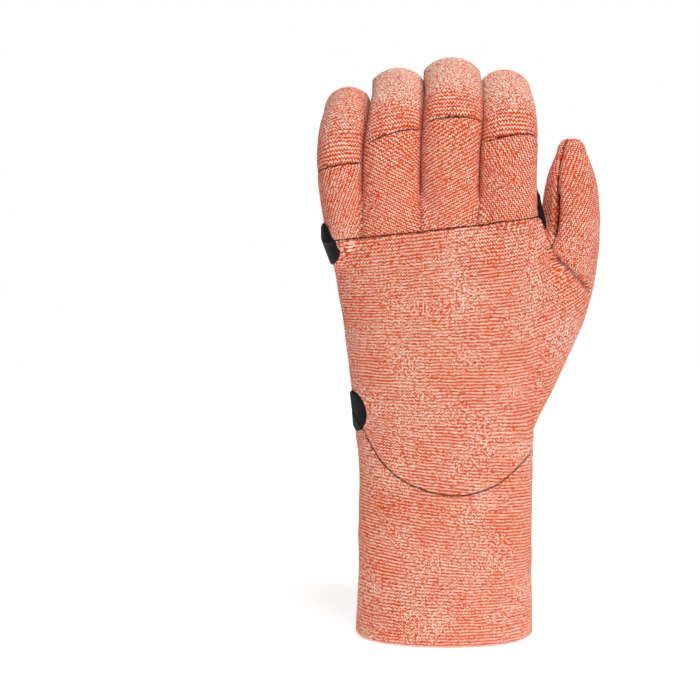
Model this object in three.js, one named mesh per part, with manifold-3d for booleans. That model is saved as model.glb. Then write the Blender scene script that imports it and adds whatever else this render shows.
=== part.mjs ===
// A left-hand diving glove of thick neoprene foam, in the form that a hand inside gives it.
// Its outer and inner surfaces are unions of smooth lofts. The wall between them is cut along
// the real glove's seams, so that each neoprene panel is a solid of its own.
//
// Millimetres. The origin is the centre of the cuff's opening, +Z runs up the hand to the
// fingers, -Y is the back of the hand, +Y the palm, and +X the thumb side.
import * as THREE from "three";
import { mergeVertices } from "three/addons/utils/BufferGeometryUtils.js";
import Module from "manifold-3d";

const wasm = await Module();
wasm.setup();

// The foam and its seams
const wall = 4.2; // neoprene foam with its knitted jersey
const seamGap = 0.35; // butt joint between two panels
const fingerGap = 0.5; // between neighbouring fingers, pressed together
const patchDiameter = 21;
const patchThickness = 0.9;
const patchGap = 0.3; // glue line under a patch

// The cuff and the palm
const cuffLength = 94; // rim to wrist
const cuffWidth = 90;
const cuffDepth = 57;
const palmLength = 113; // wrist to knuckles
const palmWidth = 104;
const palmDepth = 42;

// The fingers and the thumb
const fingerLength = 87.5; // middle finger, from its knuckle to the centre of its round end
const fingerWidth = 28.5;
const fingerDepth = 28;
const thumbReach = 160; // wrist to the top of the thumb
const thumbSpread = 80; // from the glove's centre line to the thumb's outer side
const thumbWidth = 30;

// Fineness of the facets
const handSides = 28;
const fingerSides = 14;
const innerSides = 0.72; // share of those on the inner surface

const degrees = Math.PI / 180;
const { clamp, lerp, smoothstep } = THREE.MathUtils;

// Sections of the hand. at runs 0 to 1 up the cuff and 1 to 2 up the palm. thumb and little are
// half-widths as shares of the width there, palm and back half-depths as shares of the depth,
// and rise lifts the palm side of the section, as a share of the depth.
const bodySections = [
  { at: 0.0, thumb: 0.5, little: 0.5, palm: 0.5, back: 0.5, rise: 0.0 },
  { at: 0.45, thumb: 0.49, little: 0.483, palm: 0.485, back: 0.485, rise: 0.0 },
  { at: 1.0, thumb: 0.487, little: 0.487, palm: 0.455, back: 0.45, rise: 0.0 },
  { at: 1.35, thumb: 0.485, little: 0.505, palm: 0.455, back: 0.45, rise: 0.0 },
  { at: 1.7, thumb: 0.493, little: 0.532, palm: 0.475, back: 0.455, rise: 0.0 },
  { at: 1.9, thumb: 0.485, little: 0.563, palm: 0.5, back: 0.475, rise: 0.06 },
  { at: 2.0, thumb: 0.455, little: 0.583, palm: 0.48, back: 0.455, rise: 0.1 },
  { at: 2.1, thumb: 0.42, little: 0.56, palm: 0.4, back: 0.37, rise: 0.15 },
];

// Fingers: length is a share of fingerLength. seamAt is where the seam across the back lies, as
// a share of the finger's length, and seamSkew its slope in degrees.
const fingers = [
  { name: "little", length: 0.9, seamAt: 0.43, seamSkew: 7 },
  { name: "ring", length: 0.98, seamAt: 0.515, seamSkew: 13 },
  { name: "middle", length: 1.0, seamAt: 0.545, seamSkew: 2 },
  { name: "index", length: 0.875, seamAt: 0.485, seamSkew: 7 },
];

// The four fingers' edges across the hand, from the little finger's outer side to the index
// finger's, as shares of palmWidth. at is the height above the knuckles over fingerLength.
const fingerEdges = [
  { at: 0.0, outside: -0.585, little: -0.405, ring: -0.131, middle: 0.144, index: 0.426 },
  { at: 0.2, outside: -0.608, little: -0.404, ring: -0.13, middle: 0.147, index: 0.427 },
  { at: 0.4, outside: -0.616, little: -0.4, ring: -0.128, middle: 0.152, index: 0.427 },
  { at: 0.55, outside: -0.602, little: -0.384, ring: -0.119, middle: 0.165, index: 0.426 },
  { at: 0.75, outside: -0.55, little: -0.352, ring: -0.1, middle: 0.19, index: 0.42 },
];
const edgeNames = ["outside", ...fingers.map((finger) => finger.name)];

const knuckleRise = 6.5; // degrees by which the knuckle seam climbs to the index finger
const fingerRoot = -0.15; // where a finger's loft starts, as a share of its length
const rootSize = 0.5; // its size there, inside the palm
const baseDepth = 1.16; // a finger's depth at its base against the rest of it
const bendFrom = 0.3; // where a finger starts and ends to curl, as shares of its length
const bendTo = 0.88;
const baseLean = 5; // lean towards the palm, in degrees, below and above the curl
const tipLean = 66;
const sideSeamBack = 0.07; // the side seams lie this share of palmDepth behind the middle

// The thumb's centre line and half-sizes. up is a share of thumbReach, out and forward are
// shares of thumbSpread, width and depth shares of thumbWidth, and turn the direction of its
// flat seam plane, in degrees from +X towards the palm.
const thumbSections = [
  { at: 0.0, up: 0.0, out: 0.33, forward: 0.03, width: 0.4, depth: 0.4, turn: 82 },
  { at: 0.16, up: 0.16, out: 0.435, forward: 0.08, width: 0.52, depth: 0.52, turn: 76 },
  { at: 0.36, up: 0.36, out: 0.575, forward: 0.15, width: 0.59, depth: 0.65, turn: 58 },
  { at: 0.5, up: 0.5, out: 0.694, forward: 0.18, width: 0.565, depth: 0.61, turn: 55 },
  { at: 0.62, up: 0.62, out: 0.761, forward: 0.205, width: 0.53, depth: 0.53, turn: 58 },
  { at: 0.74, up: 0.73, out: 0.794, forward: 0.225, width: 0.483, depth: 0.483, turn: 54 },
  { at: 0.88, up: 0.85, out: 0.796, forward: 0.245, width: 0.4, depth: 0.4, turn: 48 },
  { at: 1.0, up: 0.925, out: 0.796, forward: 0.262, width: 0.275, depth: 0.275, turn: 44 },
];

// The web between the thumb and the hand, from inside the hand to inside the thumb. Its columns
// are shares of the thumb's sizes, as above, with half-sizes upwards and across.
const webSections = [
  { up: 0.475, out: 0.45, forward: 0.0375, high: 0.5, across: 0.367 },
  { up: 0.509, out: 0.6, forward: 0.0875, high: 0.5, across: 0.4 },
  { up: 0.525, out: 0.7375, forward: 0.175, high: 0.433, across: 0.4 },
];

// Seams round the hand, as angles from the thumb side towards the palm and heights. The upper
// ends of the black panel's sides are where the four seams meet, under the two wrist patches.
const littleJunction = { angle: 186, up: 1.17 };
const palmWristSeam = [
  { at: 36, up: 1.17 },
  { at: 50, up: 1.16 },
  { at: 75, up: 1.125 },
  { at: 105, up: 1.115 },
  { at: 160, up: 1.13 },
  { at: 186, up: 1.17 },
];
const backWristSeam = [
  { at: 186, up: 1.17 },
  { at: 203, up: 1.11 },
  { at: 221, up: 0.985 },
  { at: 240, up: 0.885 },
  { at: 272, up: 0.81 },
  { at: 300, up: 0.85 },
  { at: 329, up: 0.96 },
  { at: 360, up: 1.04 },
  { at: 396, up: 1.17 },
];
// Sides of the black panel: angle at heights up the cuff
const panelThumbSide = [
  { at: -0.05, angle: 25 },
  { at: 0.15, angle: 28 },
  { at: 0.52, angle: 34 },
  { at: 0.85, angle: 33 },
  { at: 1.17, angle: 36 },
];
const panelLittleSide = [
  { at: -0.05, angle: 127 },
  { at: 0.35, angle: 131 },
  { at: 0.6, angle: 139 },
  { at: 0.8, angle: 153 },
  { at: 1.0, angle: 168 },
  { at: 1.17, angle: 186 },
];

// Every column of a table between its rows, on a smooth curve through them. The at column says
// where each row is.
function sample(rows, at) {
  const last = rows.length - 1;
  let i = 0;
  while (i < last - 1 && at > rows[i + 1].at) i++;
  const span = rows[i + 1].at - rows[i].at;
  const t = clamp((at - rows[i].at) / span, 0, 1);
  const out = {};
  for (const key of Object.keys(rows[0]).filter((k) => typeof rows[0][k] === "number")) {
    const slope = (k) => {
      const before = rows[Math.max(k - 1, 0)];
      const after = rows[Math.min(k + 1, last)];
      return ((after[key] - before[key]) / (after.at - before.at)) * span;
    };
    const a = rows[i][key];
    const b = rows[i + 1][key];
    const eased = t * t * (3 - 2 * t);
    out[key] = lerp(a, b, eased) + t * (1 - t) * ((1 - t) * slope(i) - t * slope(i + 1));
  }
  return out;
}

// A point of a rounded section: a superellipse, whose corners fill out as power rises above 2.
function roundedPoint(angle, power) {
  const c = Math.cos(angle);
  const s = Math.sin(angle);
  return {
    x: Math.sign(c) * Math.abs(c) ** (2 / power),
    y: Math.sign(s) * Math.abs(s) ** (2 / power),
  };
}

// How many sides a form has: fewer on the inner surface.
function sidesOf(sides, grow) {
  return grow < 0 ? 2 * Math.round((sides * innerSides) / 2) : sides;
}

// A closed mesh as a solid.
function solidOf(geometry) {
  const bare = new THREE.BufferGeometry();
  bare.setAttribute("position", geometry.getAttribute("position"));
  bare.setIndex(geometry.getIndex());
  const merged = mergeVertices(bare, 1e-4);
  return new wasm.Manifold(
    new wasm.Mesh({
      numProp: 3,
      vertProperties: new Float32Array(merged.getAttribute("position").array),
      triVerts: new Uint32Array(merged.getIndex().array),
    }),
  );
}

// A solid as a mesh for the scene.
function geometryOf(solid) {
  const mesh = solid.getMesh();
  const geometry = new THREE.BufferGeometry();
  geometry.setAttribute("position", new THREE.BufferAttribute(mesh.vertProperties, 3));
  geometry.setIndex(new THREE.BufferAttribute(mesh.triVerts, 1));
  const faceted = geometry.toNonIndexed();
  faceted.computeVertexNormals();
  return faceted;
}

function solidFrom(points, triangles) {
  const geometry = new THREE.BufferGeometry().setFromPoints(points);
  geometry.setIndex(triangles);
  return solidOf(geometry);
}

// A closed solid through rings of points, each the same way round, with a fan at both ends.
function loft(rings) {
  const sides = rings[0].length;
  const points = rings.flat();
  const triangles = [];
  for (let i = 0; i < rings.length - 1; i++) {
    for (let j = 0; j < sides; j++) {
      const a = i * sides + j;
      const b = i * sides + ((j + 1) % sides);
      triangles.push(a, b, b + sides, a, b + sides, a + sides);
    }
  }
  const centre = (ring) =>
    ring.reduce((sum, p) => sum.add(p), new THREE.Vector3()).divideScalar(ring.length);
  const first = points.push(centre(rings[0])) - 1;
  const final = points.push(centre(rings[rings.length - 1])) - 1;
  const top = (rings.length - 1) * sides;
  for (let j = 0; j < sides; j++) {
    const next = (j + 1) % sides;
    triangles.push(first, next, j, final, top + j, top + next);
  }
  return solidFrom(points, triangles);
}

// A thin solid about a sheet of points in rows and columns: the blade that cuts a seam.
function blade(rows, thickness = seamGap) {
  const columns = rows[0].length;
  const at = (i, j) => rows[clamp(i, 0, rows.length - 1)][clamp(j, 0, columns - 1)];
  const points = [];
  for (const side of [1, -1]) {
    for (let i = 0; i < rows.length; i++) {
      for (let j = 0; j < columns; j++) {
        const along = at(i + 1, j).clone().sub(at(i - 1, j));
        const across = at(i, j + 1).clone().sub(at(i, j - 1));
        const normal = along.cross(across).normalize();
        points.push(at(i, j).clone().addScaledVector(normal, (side * thickness) / 2));
      }
    }
  }
  const back = rows.length * columns;
  const triangles = [];
  const quad = (a, b, c, d) => triangles.push(a, b, c, a, c, d);
  for (let i = 0; i < rows.length - 1; i++) {
    for (let j = 0; j < columns - 1; j++) {
      const a = i * columns + j;
      quad(a, a + columns, a + columns + 1, a + 1);
      quad(back + a, back + a + 1, back + a + columns + 1, back + a + columns);
    }
  }
  for (let i = 0; i < rows.length - 1; i++) {
    const left = i * columns;
    const right = left + columns - 1;
    quad(left, left + back, left + columns + back, left + columns);
    quad(right, right + columns, right + columns + back, right + back);
  }
  const low = 0;
  const high = (rows.length - 1) * columns;
  for (let j = 0; j < columns - 1; j++) {
    quad(low + j, low + j + 1, low + j + 1 + back, low + j + back);
    quad(high + j, high + j + back, high + j + 1 + back, high + j + 1);
  }
  return solidFrom(points, triangles);
}

// The numbers from one value to another in equal steps, both ends included.
function steps(from, to, count) {
  return Array.from({ length: count + 1 }, (_, i) => lerp(from, to, i / count));
}

// The hand from the cuff's rim to the knuckles

function handHeight(at) {
  return Math.min(at, 1) * cuffLength + Math.max(at - 1, 0) * palmLength;
}

// The point on the hand's section at an angle from the thumb side towards the palm. grow moves
// the surface out, and reach is a share of the way from the section's centre to it.
function handPoint(at, angle, grow = 0, reach = 1) {
  const s = sample(bodySections, clamp(at, 0, 2.1));
  const up = clamp(at - 1, 0, 1);
  const width = lerp(cuffWidth, palmWidth, up);
  const depth = lerp(cuffDepth, palmDepth, up);
  const p = roundedPoint(angle, lerp(2.1, 2.35, up));
  const halfWidth = width * (p.x > 0 ? s.thumb : s.little) + grow;
  const halfDepth = depth * (p.y > 0 ? s.palm : s.back) + grow;
  return new THREE.Vector3(
    p.x * halfWidth * reach,
    p.y * halfDepth * reach,
    handHeight(at) + s.rise * depth * (p.y * reach + 1),
  );
}

function handForm(grow) {
  const sides = sidesOf(handSides, grow);
  const places = [0, 0.22, 0.45, 0.75, 1, 1.18, 1.35, 1.52, 1.7, 1.82, 1.92, 2.0, 2.07];
  const rings = places.map((at) =>
    Array.from({ length: sides }, (_, j) =>
      handPoint(at, (j / sides) * 2 * Math.PI, grow),
    ),
  );
  // An inner form starts below the rim, and so leaves the cuff open.
  if (grow < 0) rings.unshift(rings[0].map((p) => p.clone().setZ(-wall)));
  // The loft's top rounds over inside the fingers' roots.
  const dome = [0.9, 0.6].map((reach, k) =>
    Array.from({ length: sides }, (_, j) =>
      handPoint(2.1, (j / sides) * 2 * Math.PI, grow, reach).add(
        new THREE.Vector3(0, 0, grow + wall * (k ? 0.7 : 0.3)),
      ),
    ),
  );
  return loft([...rings, ...dome]);
}

// A finger

const sideSeamY = -sideSeamBack * palmDepth;

function knuckleHeight(x) {
  return cuffLength + palmLength + x * Math.tan(knuckleRise * degrees);
}

function fingerLean(share) {
  return lerp(baseLean, tipLean, smoothstep(share, bendFrom, bendTo)) * degrees;
}

// The places across the hand where a finger begins and ends at a height.
function fingerSpan(i, z) {
  const edges = sample(fingerEdges, (z - handHeight(2)) / fingerLength);
  return { from: edges[edgeNames[i]] * palmWidth, to: edges[edgeNames[i + 1]] * palmWidth };
}

// A finger's centre at a share of its length, the way it points and its half-sizes there.
function fingerAt(i, share) {
  const length = fingerLength * fingers[i].length;
  const base = fingerSpan(i, handHeight(2));
  const centre = new THREE.Vector3(0, sideSeamY, knuckleHeight((base.from + base.to) / 2));
  const pieces = 40;
  for (let k = 0; k < pieces; k++) {
    const lean = fingerLean((share * (k + 0.5)) / pieces);
    centre.y += (Math.sin(lean) * length * share) / pieces;
    centre.z += (Math.cos(lean) * length * share) / pieces;
  }
  const span = fingerSpan(i, centre.z);
  centre.x = (span.from + span.to) / 2;
  const lean = fingerLean(share);
  const thinner = lerp(baseDepth, 1, smoothstep(share, 0, 0.35));
  const narrow = (span.to - span.from) / fingerWidth;
  return {
    centre,
    ahead: new THREE.Vector3(0, Math.sin(lean), Math.cos(lean)),
    behind: new THREE.Vector3(0, -Math.cos(lean), Math.sin(lean)),
    halfWidth: (span.to - span.from - fingerGap) / 2,
    halfDepth: ((0.55 + 0.45 * narrow) * fingerDepth * thinner) / 2,
  };
}

// Rings of a tube round a centre line, closed by a round end. side and behind span the section.
function tubeWithRoundEnd(stations, grow) {
  const sides = sidesOf(fingerSides, grow);
  const ring = (s, scale, ahead) =>
    Array.from({ length: sides }, (_, j) => {
      const p = roundedPoint((j / sides) * 2 * Math.PI, 2.4);
      return s.centre
        .clone()
        .addScaledVector(s.side, p.x * (s.halfWidth + grow) * scale)
        .addScaledVector(s.behind, -p.y * (s.halfDepth + grow) * scale)
        .addScaledVector(s.ahead, ahead);
    });
  const end = stations[stations.length - 1];
  const radius = (end.halfWidth + end.halfDepth) / 2 + grow;
  const dome = [25, 48, 68, 82].map((angle) =>
    ring(end, Math.cos(angle * degrees), radius * Math.sin(angle * degrees)),
  );
  return loft([...stations.map((s) => ring(s, 1, 0)), ...dome]);
}

function fingerForm(i, grow) {
  const side = new THREE.Vector3(1, 0, 0);
  const places = [fingerRoot, 0, 0.14, 0.28, 0.4, 0.52, 0.64, 0.76, 0.88, 1];
  const stations = places.map((share) => {
    const s = fingerAt(i, Math.max(share, 0));
    if (share < 0) {
      s.centre.addScaledVector(s.ahead, share * fingerLength);
      s.halfWidth *= rootSize;
      s.halfDepth *= rootSize;
    }
    return { ...s, side };
  });
  return tubeWithRoundEnd(stations, grow);
}

// The thumb

function thumbAt(at) {
  const place = (k) => {
    const s = sample(thumbSections, k);
    return new THREE.Vector3(
      s.out * thumbSpread,
      s.forward * thumbSpread,
      cuffLength + s.up * thumbReach,
    );
  };
  const s = sample(thumbSections, at);
  const ahead = place(Math.min(at + 0.01, 1)).sub(place(Math.max(at - 0.01, 0))).normalize();
  const flat = new THREE.Vector3(Math.cos(s.turn * degrees), Math.sin(s.turn * degrees), 0);
  const side = flat.addScaledVector(ahead, -flat.dot(ahead)).normalize();
  return {
    centre: place(at),
    ahead,
    side,
    behind: side.clone().cross(ahead),
    seam: new THREE.Vector3(Math.cos(s.turn * degrees), Math.sin(s.turn * degrees), 0),
    halfWidth: s.width * thumbWidth,
    halfDepth: s.depth * thumbWidth,
  };
}

function thumbForm(grow) {
  const stations = [...steps(0, 0.88, 8), 0.95, 1].map(thumbAt);
  return tubeWithRoundEnd(stations, grow);
}

function webForm(grow) {
  const point = (s) =>
    new THREE.Vector3(
      s.out * thumbSpread,
      s.forward * thumbSpread,
      cuffLength + s.up * thumbReach,
    );
  const first = webSections[0];
  const ahead = point(webSections[webSections.length - 1]).sub(point(first)).normalize();
  const side = new THREE.Vector3(0, 0, 1).addScaledVector(ahead, -ahead.z).normalize();
  const stations = webSections.map((s) => ({
    centre: point(s),
    ahead,
    side,
    behind: side.clone().cross(ahead),
    halfWidth: s.high * thumbWidth,
    halfDepth: s.across * thumbWidth,
  }));
  return tubeWithRoundEnd(stations, grow);
}

// The whole glove, with its surface moved out by grow, or in if that is negative.
function gloveForm(grow) {
  let form = handForm(grow).add(thumbForm(grow)).add(webForm(grow));
  fingers.forEach((_, i) => {
    form = form.add(fingerForm(i, grow));
  });
  return form;
}

// The blades that cut the seams

const farOut = palmWidth; // well outside the glove

// Round the wrist, across the wall, through a table of heights by angle. It runs a degree past
// both ends, into the seam beyond.
function wristBlade(table) {
  const angles = steps(table[0].at - 1, table[table.length - 1].at + 1, 18);
  return blade(
    [0.5, 0.75, 1, 1.3].map((reach) =>
      angles.map((angle) => handPoint(sample(table, angle).up, angle * degrees, 0, reach)),
    ),
  );
}

// Up a side of the black panel, across the wall.
function panelSideBlade(table) {
  return blade(
    steps(table[0].at, table[table.length - 1].at, 10).map((at) =>
      [0.6, 1, 1.3].map((reach) => {
        const p = handPoint(Math.max(at, 0), sample(table, at).angle * degrees, 0, reach);
        return p.setZ(p.z + Math.min(at, 0) * cuffLength);
      }),
    ),
  );
}

// Between the backs of two neighbouring fingers, above the knuckle seam.
function fingerDivider(i) {
  const root = knuckleHeight(fingerSpan(i, handHeight(2)).to);
  return blade(
    [-seamGap, wall, wall * 6].map((rise) =>
      [-palmDepth, -palmDepth / 2, sideSeamY + seamGap * 3 + Math.max(rise, 0) * 0.1].map(
        (y) => new THREE.Vector3(fingerSpan(i, root + rise).to, y, root + rise),
      ),
    ),
    fingerGap,
  );
}

// The side seam's sheet in the hand: on the little side from the wrist to the finger's root, on
// the thumb side from the web's hollow up. It starts there as far forward as the web's ridge.
function handSideBlade() {
  const wrist = handHeight(littleJunction.up) - seamGap * 2;
  const web = webSections[1];
  const ridge = cuffLength + web.up * thumbReach + web.high * thumbWidth;
  return blade(
    steps(0, 1, 6).map((across) => {
      const x = lerp(-farOut, farOut * 0.52, across);
      const low = x > 0 ? ridge - wall * 2 : wrist;
      const high = knuckleHeight(x) + 2;
      return steps(0, 1, 4).map((t) => {
        const z = lerp(low, high, t);
        const forward = x > 0 ? wall * 1.5 * (1 - smoothstep(z, low, low + wall * 4)) : 0;
        return new THREE.Vector3(x, sideSeamY + forward, z);
      });
    }),
  );
}

// The side seam's sheet in one finger, out past its round end.
function fingerSideBlade(i) {
  const rows = [...steps(0, 1, 12), 1.5].map((share) => {
    const s = fingerAt(i, Math.min(share, 1));
    const p = s.centre.addScaledVector(s.ahead, Math.max(share - 1, 0) * fingerLength);
    return steps(0, 1, 2).map((across) => p.clone().setX(acrossFinger(i, across, p.z)));
  });
  return blade(rows);
}

// The place a share of the way across a finger's panels, which reach to the next finger's and,
// on the outer sides, beyond the glove.
function acrossFinger(i, across, z) {
  const span = fingerSpan(i, z);
  const from = i ? span.from : span.from - wall;
  const to = i < fingers.length - 1 ? span.to : span.to + wall;
  return lerp(from, to, across);
}

// The seam across the back of a finger, from its side seams outwards.
function fingerSeamBlade(i) {
  const s = fingerAt(i, fingers[i].seamAt);
  const skew = Math.tan(fingers[i].seamSkew * degrees);
  return blade(
    steps(0, 1, 4).map((across) =>
      [-0.04, 0.6, 1.3].map((out) => {
        const p = s.centre.clone().addScaledVector(s.behind, out * s.halfDepth);
        p.setX(acrossFinger(i, across, p.z));
        return p.addScaledVector(s.ahead, (p.x - s.centre.x) * skew);
      }),
    ),
  );
}

// The seam over the knuckles, from the side seam to the back.
function knuckleBlade() {
  return blade(
    steps(-farOut, farOut * 0.52, 6).map((x) =>
      [sideSeamY, -palmDepth / 4, -palmDepth].map((y) => new THREE.Vector3(x, y, knuckleHeight(x))),
    ),
  );
}

// The thumb's seam sheet: out through its outer side all the way up, and through its inner
// side above the web, where it first reaches across to the hand.
function thumbBlade() {
  const rows = [
    { at: 0.107, inner: 0.3 },
    { at: 0.2, inner: 0.3 },
    { at: 0.3, inner: 0.3 },
    { at: 0.4, inner: 0.3 },
    { at: 0.5, inner: 0.3 },
    { at: 0.53, inner: 1.4 },
    { at: 0.6, inner: 1.4 },
    { at: 0.64, inner: 1.2 },
    { at: 0.72, inner: 1.2 },
    { at: 0.82, inner: 1.2 },
    { at: 0.92, inner: 1.2 },
    { at: 1.0, inner: 1.2 },
    { at: 1.2, inner: 1.2 },
  ];
  return blade(
    rows.map((row) => {
      const s = thumbAt(Math.min(row.at, 1));
      const end = s.centre.addScaledVector(s.ahead, Math.max(row.at - 1, 0) * thumbReach);
      return [-row.inner, 0, 1.5].map((out) =>
        end.clone().addScaledVector(s.seam, out * s.halfWidth),
      );
    }),
  );
}

function seamBlades() {
  const blades = [
    wristBlade(palmWristSeam),
    wristBlade(backWristSeam),
    panelSideBlade(panelThumbSide),
    panelSideBlade(panelLittleSide),
    handSideBlade(),
    knuckleBlade(),
    thumbBlade(),
  ];
  fingers.forEach((_, i) => {
    blades.push(fingerSideBlade(i), fingerSeamBlade(i));
    if (fingers[i + 1]) blades.push(fingerDivider(i));
  });
  return blades;
}

// Round black patches over the four places where seams meet. x is the centre as a share of
// palmWidth, y of palmDepth, and up its height on the hand. toX and toY are the way it faces.
const patches = [
  { name: "thumb_side_wrist_patch", x: 0.385, y: 0.452, up: 1.177, toX: 0.7, toY: 0.71 },
  { name: "little_side_wrist_patch", x: -0.423, y: -0.095, up: 1.186, toX: -0.97, toY: -0.24 },
  { name: "little_side_knuckle_patch", x: -0.577, y: -0.143, up: 1.925, toX: -0.92, toY: -0.4 },
  { name: "index_side_knuckle_patch", x: 0.442, y: 0.1, up: 2.071, toX: 1, toY: 0.06 },
];

function patchForm(patch, under, over) {
  const facing = new THREE.Vector3(patch.toX, patch.toY, 0).normalize();
  const depth = patchDiameter * 0.8;
  const disc = new THREE.CylinderGeometry(patchDiameter / 2, patchDiameter / 2, depth, 18, 1);
  disc.applyQuaternion(
    new THREE.Quaternion().setFromUnitVectors(new THREE.Vector3(0, 1, 0), facing),
  );
  const centre = new THREE.Vector3(patch.x * palmWidth, patch.y * palmDepth, handHeight(patch.up));
  disc.translate(...centre.addScaledVector(facing, -depth / 4).toArray());
  // The disc may graze a second surface: the patch is the largest part.
  const parts = solidOf(disc).intersect(over).subtract(under).decompose();
  return parts.reduce((largest, solid) => (solid.volume() > largest.volume() ? solid : largest));
}

// The panels, each with the middle of its bounding box to know it by: x as a share of palmWidth,
// y of palmDepth and z of the glove's height
const panelNames = [
  { name: "cuff", x: 0, y: -0.0714, z: 0.19 },
  { name: "wrist_panel", x: -0.00962, y: 0.31, z: 0.19 },
  { name: "back_panel", x: 0.0865, y: 0.0476, z: 0.553 },
  { name: "palm_panel", x: 0.0385, y: 0.595, z: 0.659 },
  { name: "little_finger_back", x: -0.51, y: -0.19, z: 0.737 },
  { name: "ring_finger_back", x: -0.269, y: -0.19, z: 0.764 },
  { name: "middle_finger_back", x: 0.0192, y: -0.19, z: 0.781 },
  { name: "index_finger_back", x: 0.298, y: -0.19, z: 0.778 },
  { name: "little_fingertip", x: -0.49, y: 0.381, z: 0.859 },
  { name: "ring_fingertip", x: -0.25, y: 0.452, z: 0.893 },
  { name: "middle_fingertip", x: 0.0385, y: 0.5, z: 0.917 },
  { name: "index_fingertip", x: 0.298, y: 0.405, z: 0.896 },
];

const blackNodes = ["wrist_panel", ...patches.map((patch) => patch.name)];
const knit = new THREE.MeshStandardMaterial({ name: "knit", color: 0xe08060, roughness: 0.95 });
const black = new THREE.MeshStandardMaterial({ name: "black", color: 0x262427, roughness: 0.8 });

const glove = new THREE.Group();
glove.name = "diving_glove";

function addNode(name, solid) {
  const mesh = new THREE.Mesh(geometryOf(solid), blackNodes.includes(name) ? black : knit);
  mesh.name = name;
  glove.add(mesh);
}

// Slivers narrower than this are smoothed out of the cut panels.
const sliver = 0.1;

const outside = gloveForm(0);
let shell = outside.subtract(gloveForm(-wall));
for (const seam of seamBlades()) shell = shell.subtract(seam);
const tall = handHeight(2) + fingerLength;
const panels = shell.decompose().filter((solid) => solid.volume() > 10);
for (const row of panelNames) {
  const distance = (solid) => {
    const box = solid.boundingBox();
    return Math.hypot(
      (box.min[0] + box.max[0]) / 2 - row.x * palmWidth,
      (box.min[1] + box.max[1]) / 2 - row.y * palmDepth,
      (box.min[2] + box.max[2]) / 2 - row.z * tall,
    );
  };
  const nearest = panels.reduce((best, solid) => (distance(solid) < distance(best) ? solid : best));
  addNode(row.name, nearest.simplify(sliver));
}

const under = gloveForm(patchGap);
const over = gloveForm(patchGap + patchThickness);
for (const patch of patches) addNode(patch.name, patchForm(patch, under, over).simplify(sliver));

export default glove;
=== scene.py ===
"""A left-hand diving glove of thick neoprene faced with a two-tone knit.

The form is built in millimetres from the same named sizes as the frame's solids, cut along
its seams into panels, and handed to Blender in metres.
"""

import math

import bpy
import numpy as np
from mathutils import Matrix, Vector, kdtree

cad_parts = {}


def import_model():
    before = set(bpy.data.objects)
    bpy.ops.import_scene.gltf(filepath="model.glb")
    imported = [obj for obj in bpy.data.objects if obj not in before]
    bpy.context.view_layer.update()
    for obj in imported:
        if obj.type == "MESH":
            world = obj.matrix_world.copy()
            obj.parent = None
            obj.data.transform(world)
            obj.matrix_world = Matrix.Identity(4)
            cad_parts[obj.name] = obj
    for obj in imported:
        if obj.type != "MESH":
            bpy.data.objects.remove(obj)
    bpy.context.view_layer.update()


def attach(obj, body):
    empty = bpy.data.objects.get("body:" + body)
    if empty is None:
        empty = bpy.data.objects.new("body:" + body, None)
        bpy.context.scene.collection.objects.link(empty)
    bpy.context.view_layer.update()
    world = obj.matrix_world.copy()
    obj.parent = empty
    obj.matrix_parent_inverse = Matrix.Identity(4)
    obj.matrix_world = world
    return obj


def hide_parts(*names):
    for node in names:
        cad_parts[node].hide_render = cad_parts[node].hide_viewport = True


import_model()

MM = 0.001

# The foam and its seams, in millimetres
WALL = 4.2
GROOVE_DEPTH = 0.75
GROOVE_WIDTH = 1.1
STITCH_PITCH = 1.9
STITCH_LENGTH = 1.35
STITCH_RADIUS = 0.15
PATCH_RADIUS = 10.4
PATCH_RISE = 0.75

# The hand, the fingers and the thumb, in millimetres
CUFF_LENGTH = 94.0
CUFF_WIDTH = 90.0
CUFF_DEPTH = 57.0
PALM_LENGTH = 113.0
PALM_WIDTH = 104.0
PALM_DEPTH = 42.0
FINGER_LENGTH = 87.5
FINGER_WIDTH = 28.5
FINGER_DEPTH = 28.0
THUMB_REACH = 160.0
THUMB_SPREAD = 80.0
THUMB_WIDTH = 30.0
CONTACT = 0.1  # between neighbouring fingers
SQUEEZE = 1.1  # how far a finger would reach into its neighbour's room
RIM_ROUND = 1.9
TUBE_POWER = 2.4  # how boxy the sections of the fingers and the thumb are: 2 is round
TIP_POWER = 2.0
PRESSED = 1.09  # how far neighbouring fingertips press each other flat

# The remeshed skin
FINGER_STATIONS = 90
VOXEL = 1.0
SPREAD = 3.2  # gap between fingers while the skin is remeshed
SPREAD_FROM = 206.0  # the heights between which the fingers come apart
SPREAD_FULL = 217.0
SMOOTHINGS = 10
EASE_IN = 0.5  # how far a smoothing pass moves a point, and how far the next one moves it back
EASE_OUT = -0.52

# Sections of the hand: at (0 rim, 1 wrist, 2 knuckles), reach towards the thumb, the little
# finger, the palm and the back as shares of the width and depth, rise towards the palm
BODY = np.array([
    (0.0, 0.5, 0.5, 0.5, 0.5, 0.0),
    (0.45, 0.49, 0.483, 0.485, 0.485, 0.0),
    (1.0, 0.487, 0.487, 0.455, 0.45, 0.0),
    (1.35, 0.485, 0.505, 0.455, 0.45, 0.0),
    (1.7, 0.493, 0.532, 0.475, 0.455, 0.0),
    (1.9, 0.485, 0.563, 0.5, 0.475, 0.06),
    (2.0, 0.455, 0.583, 0.48, 0.455, 0.1),
    (2.1, 0.42, 0.56, 0.4, 0.37, 0.15),
])

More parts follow.
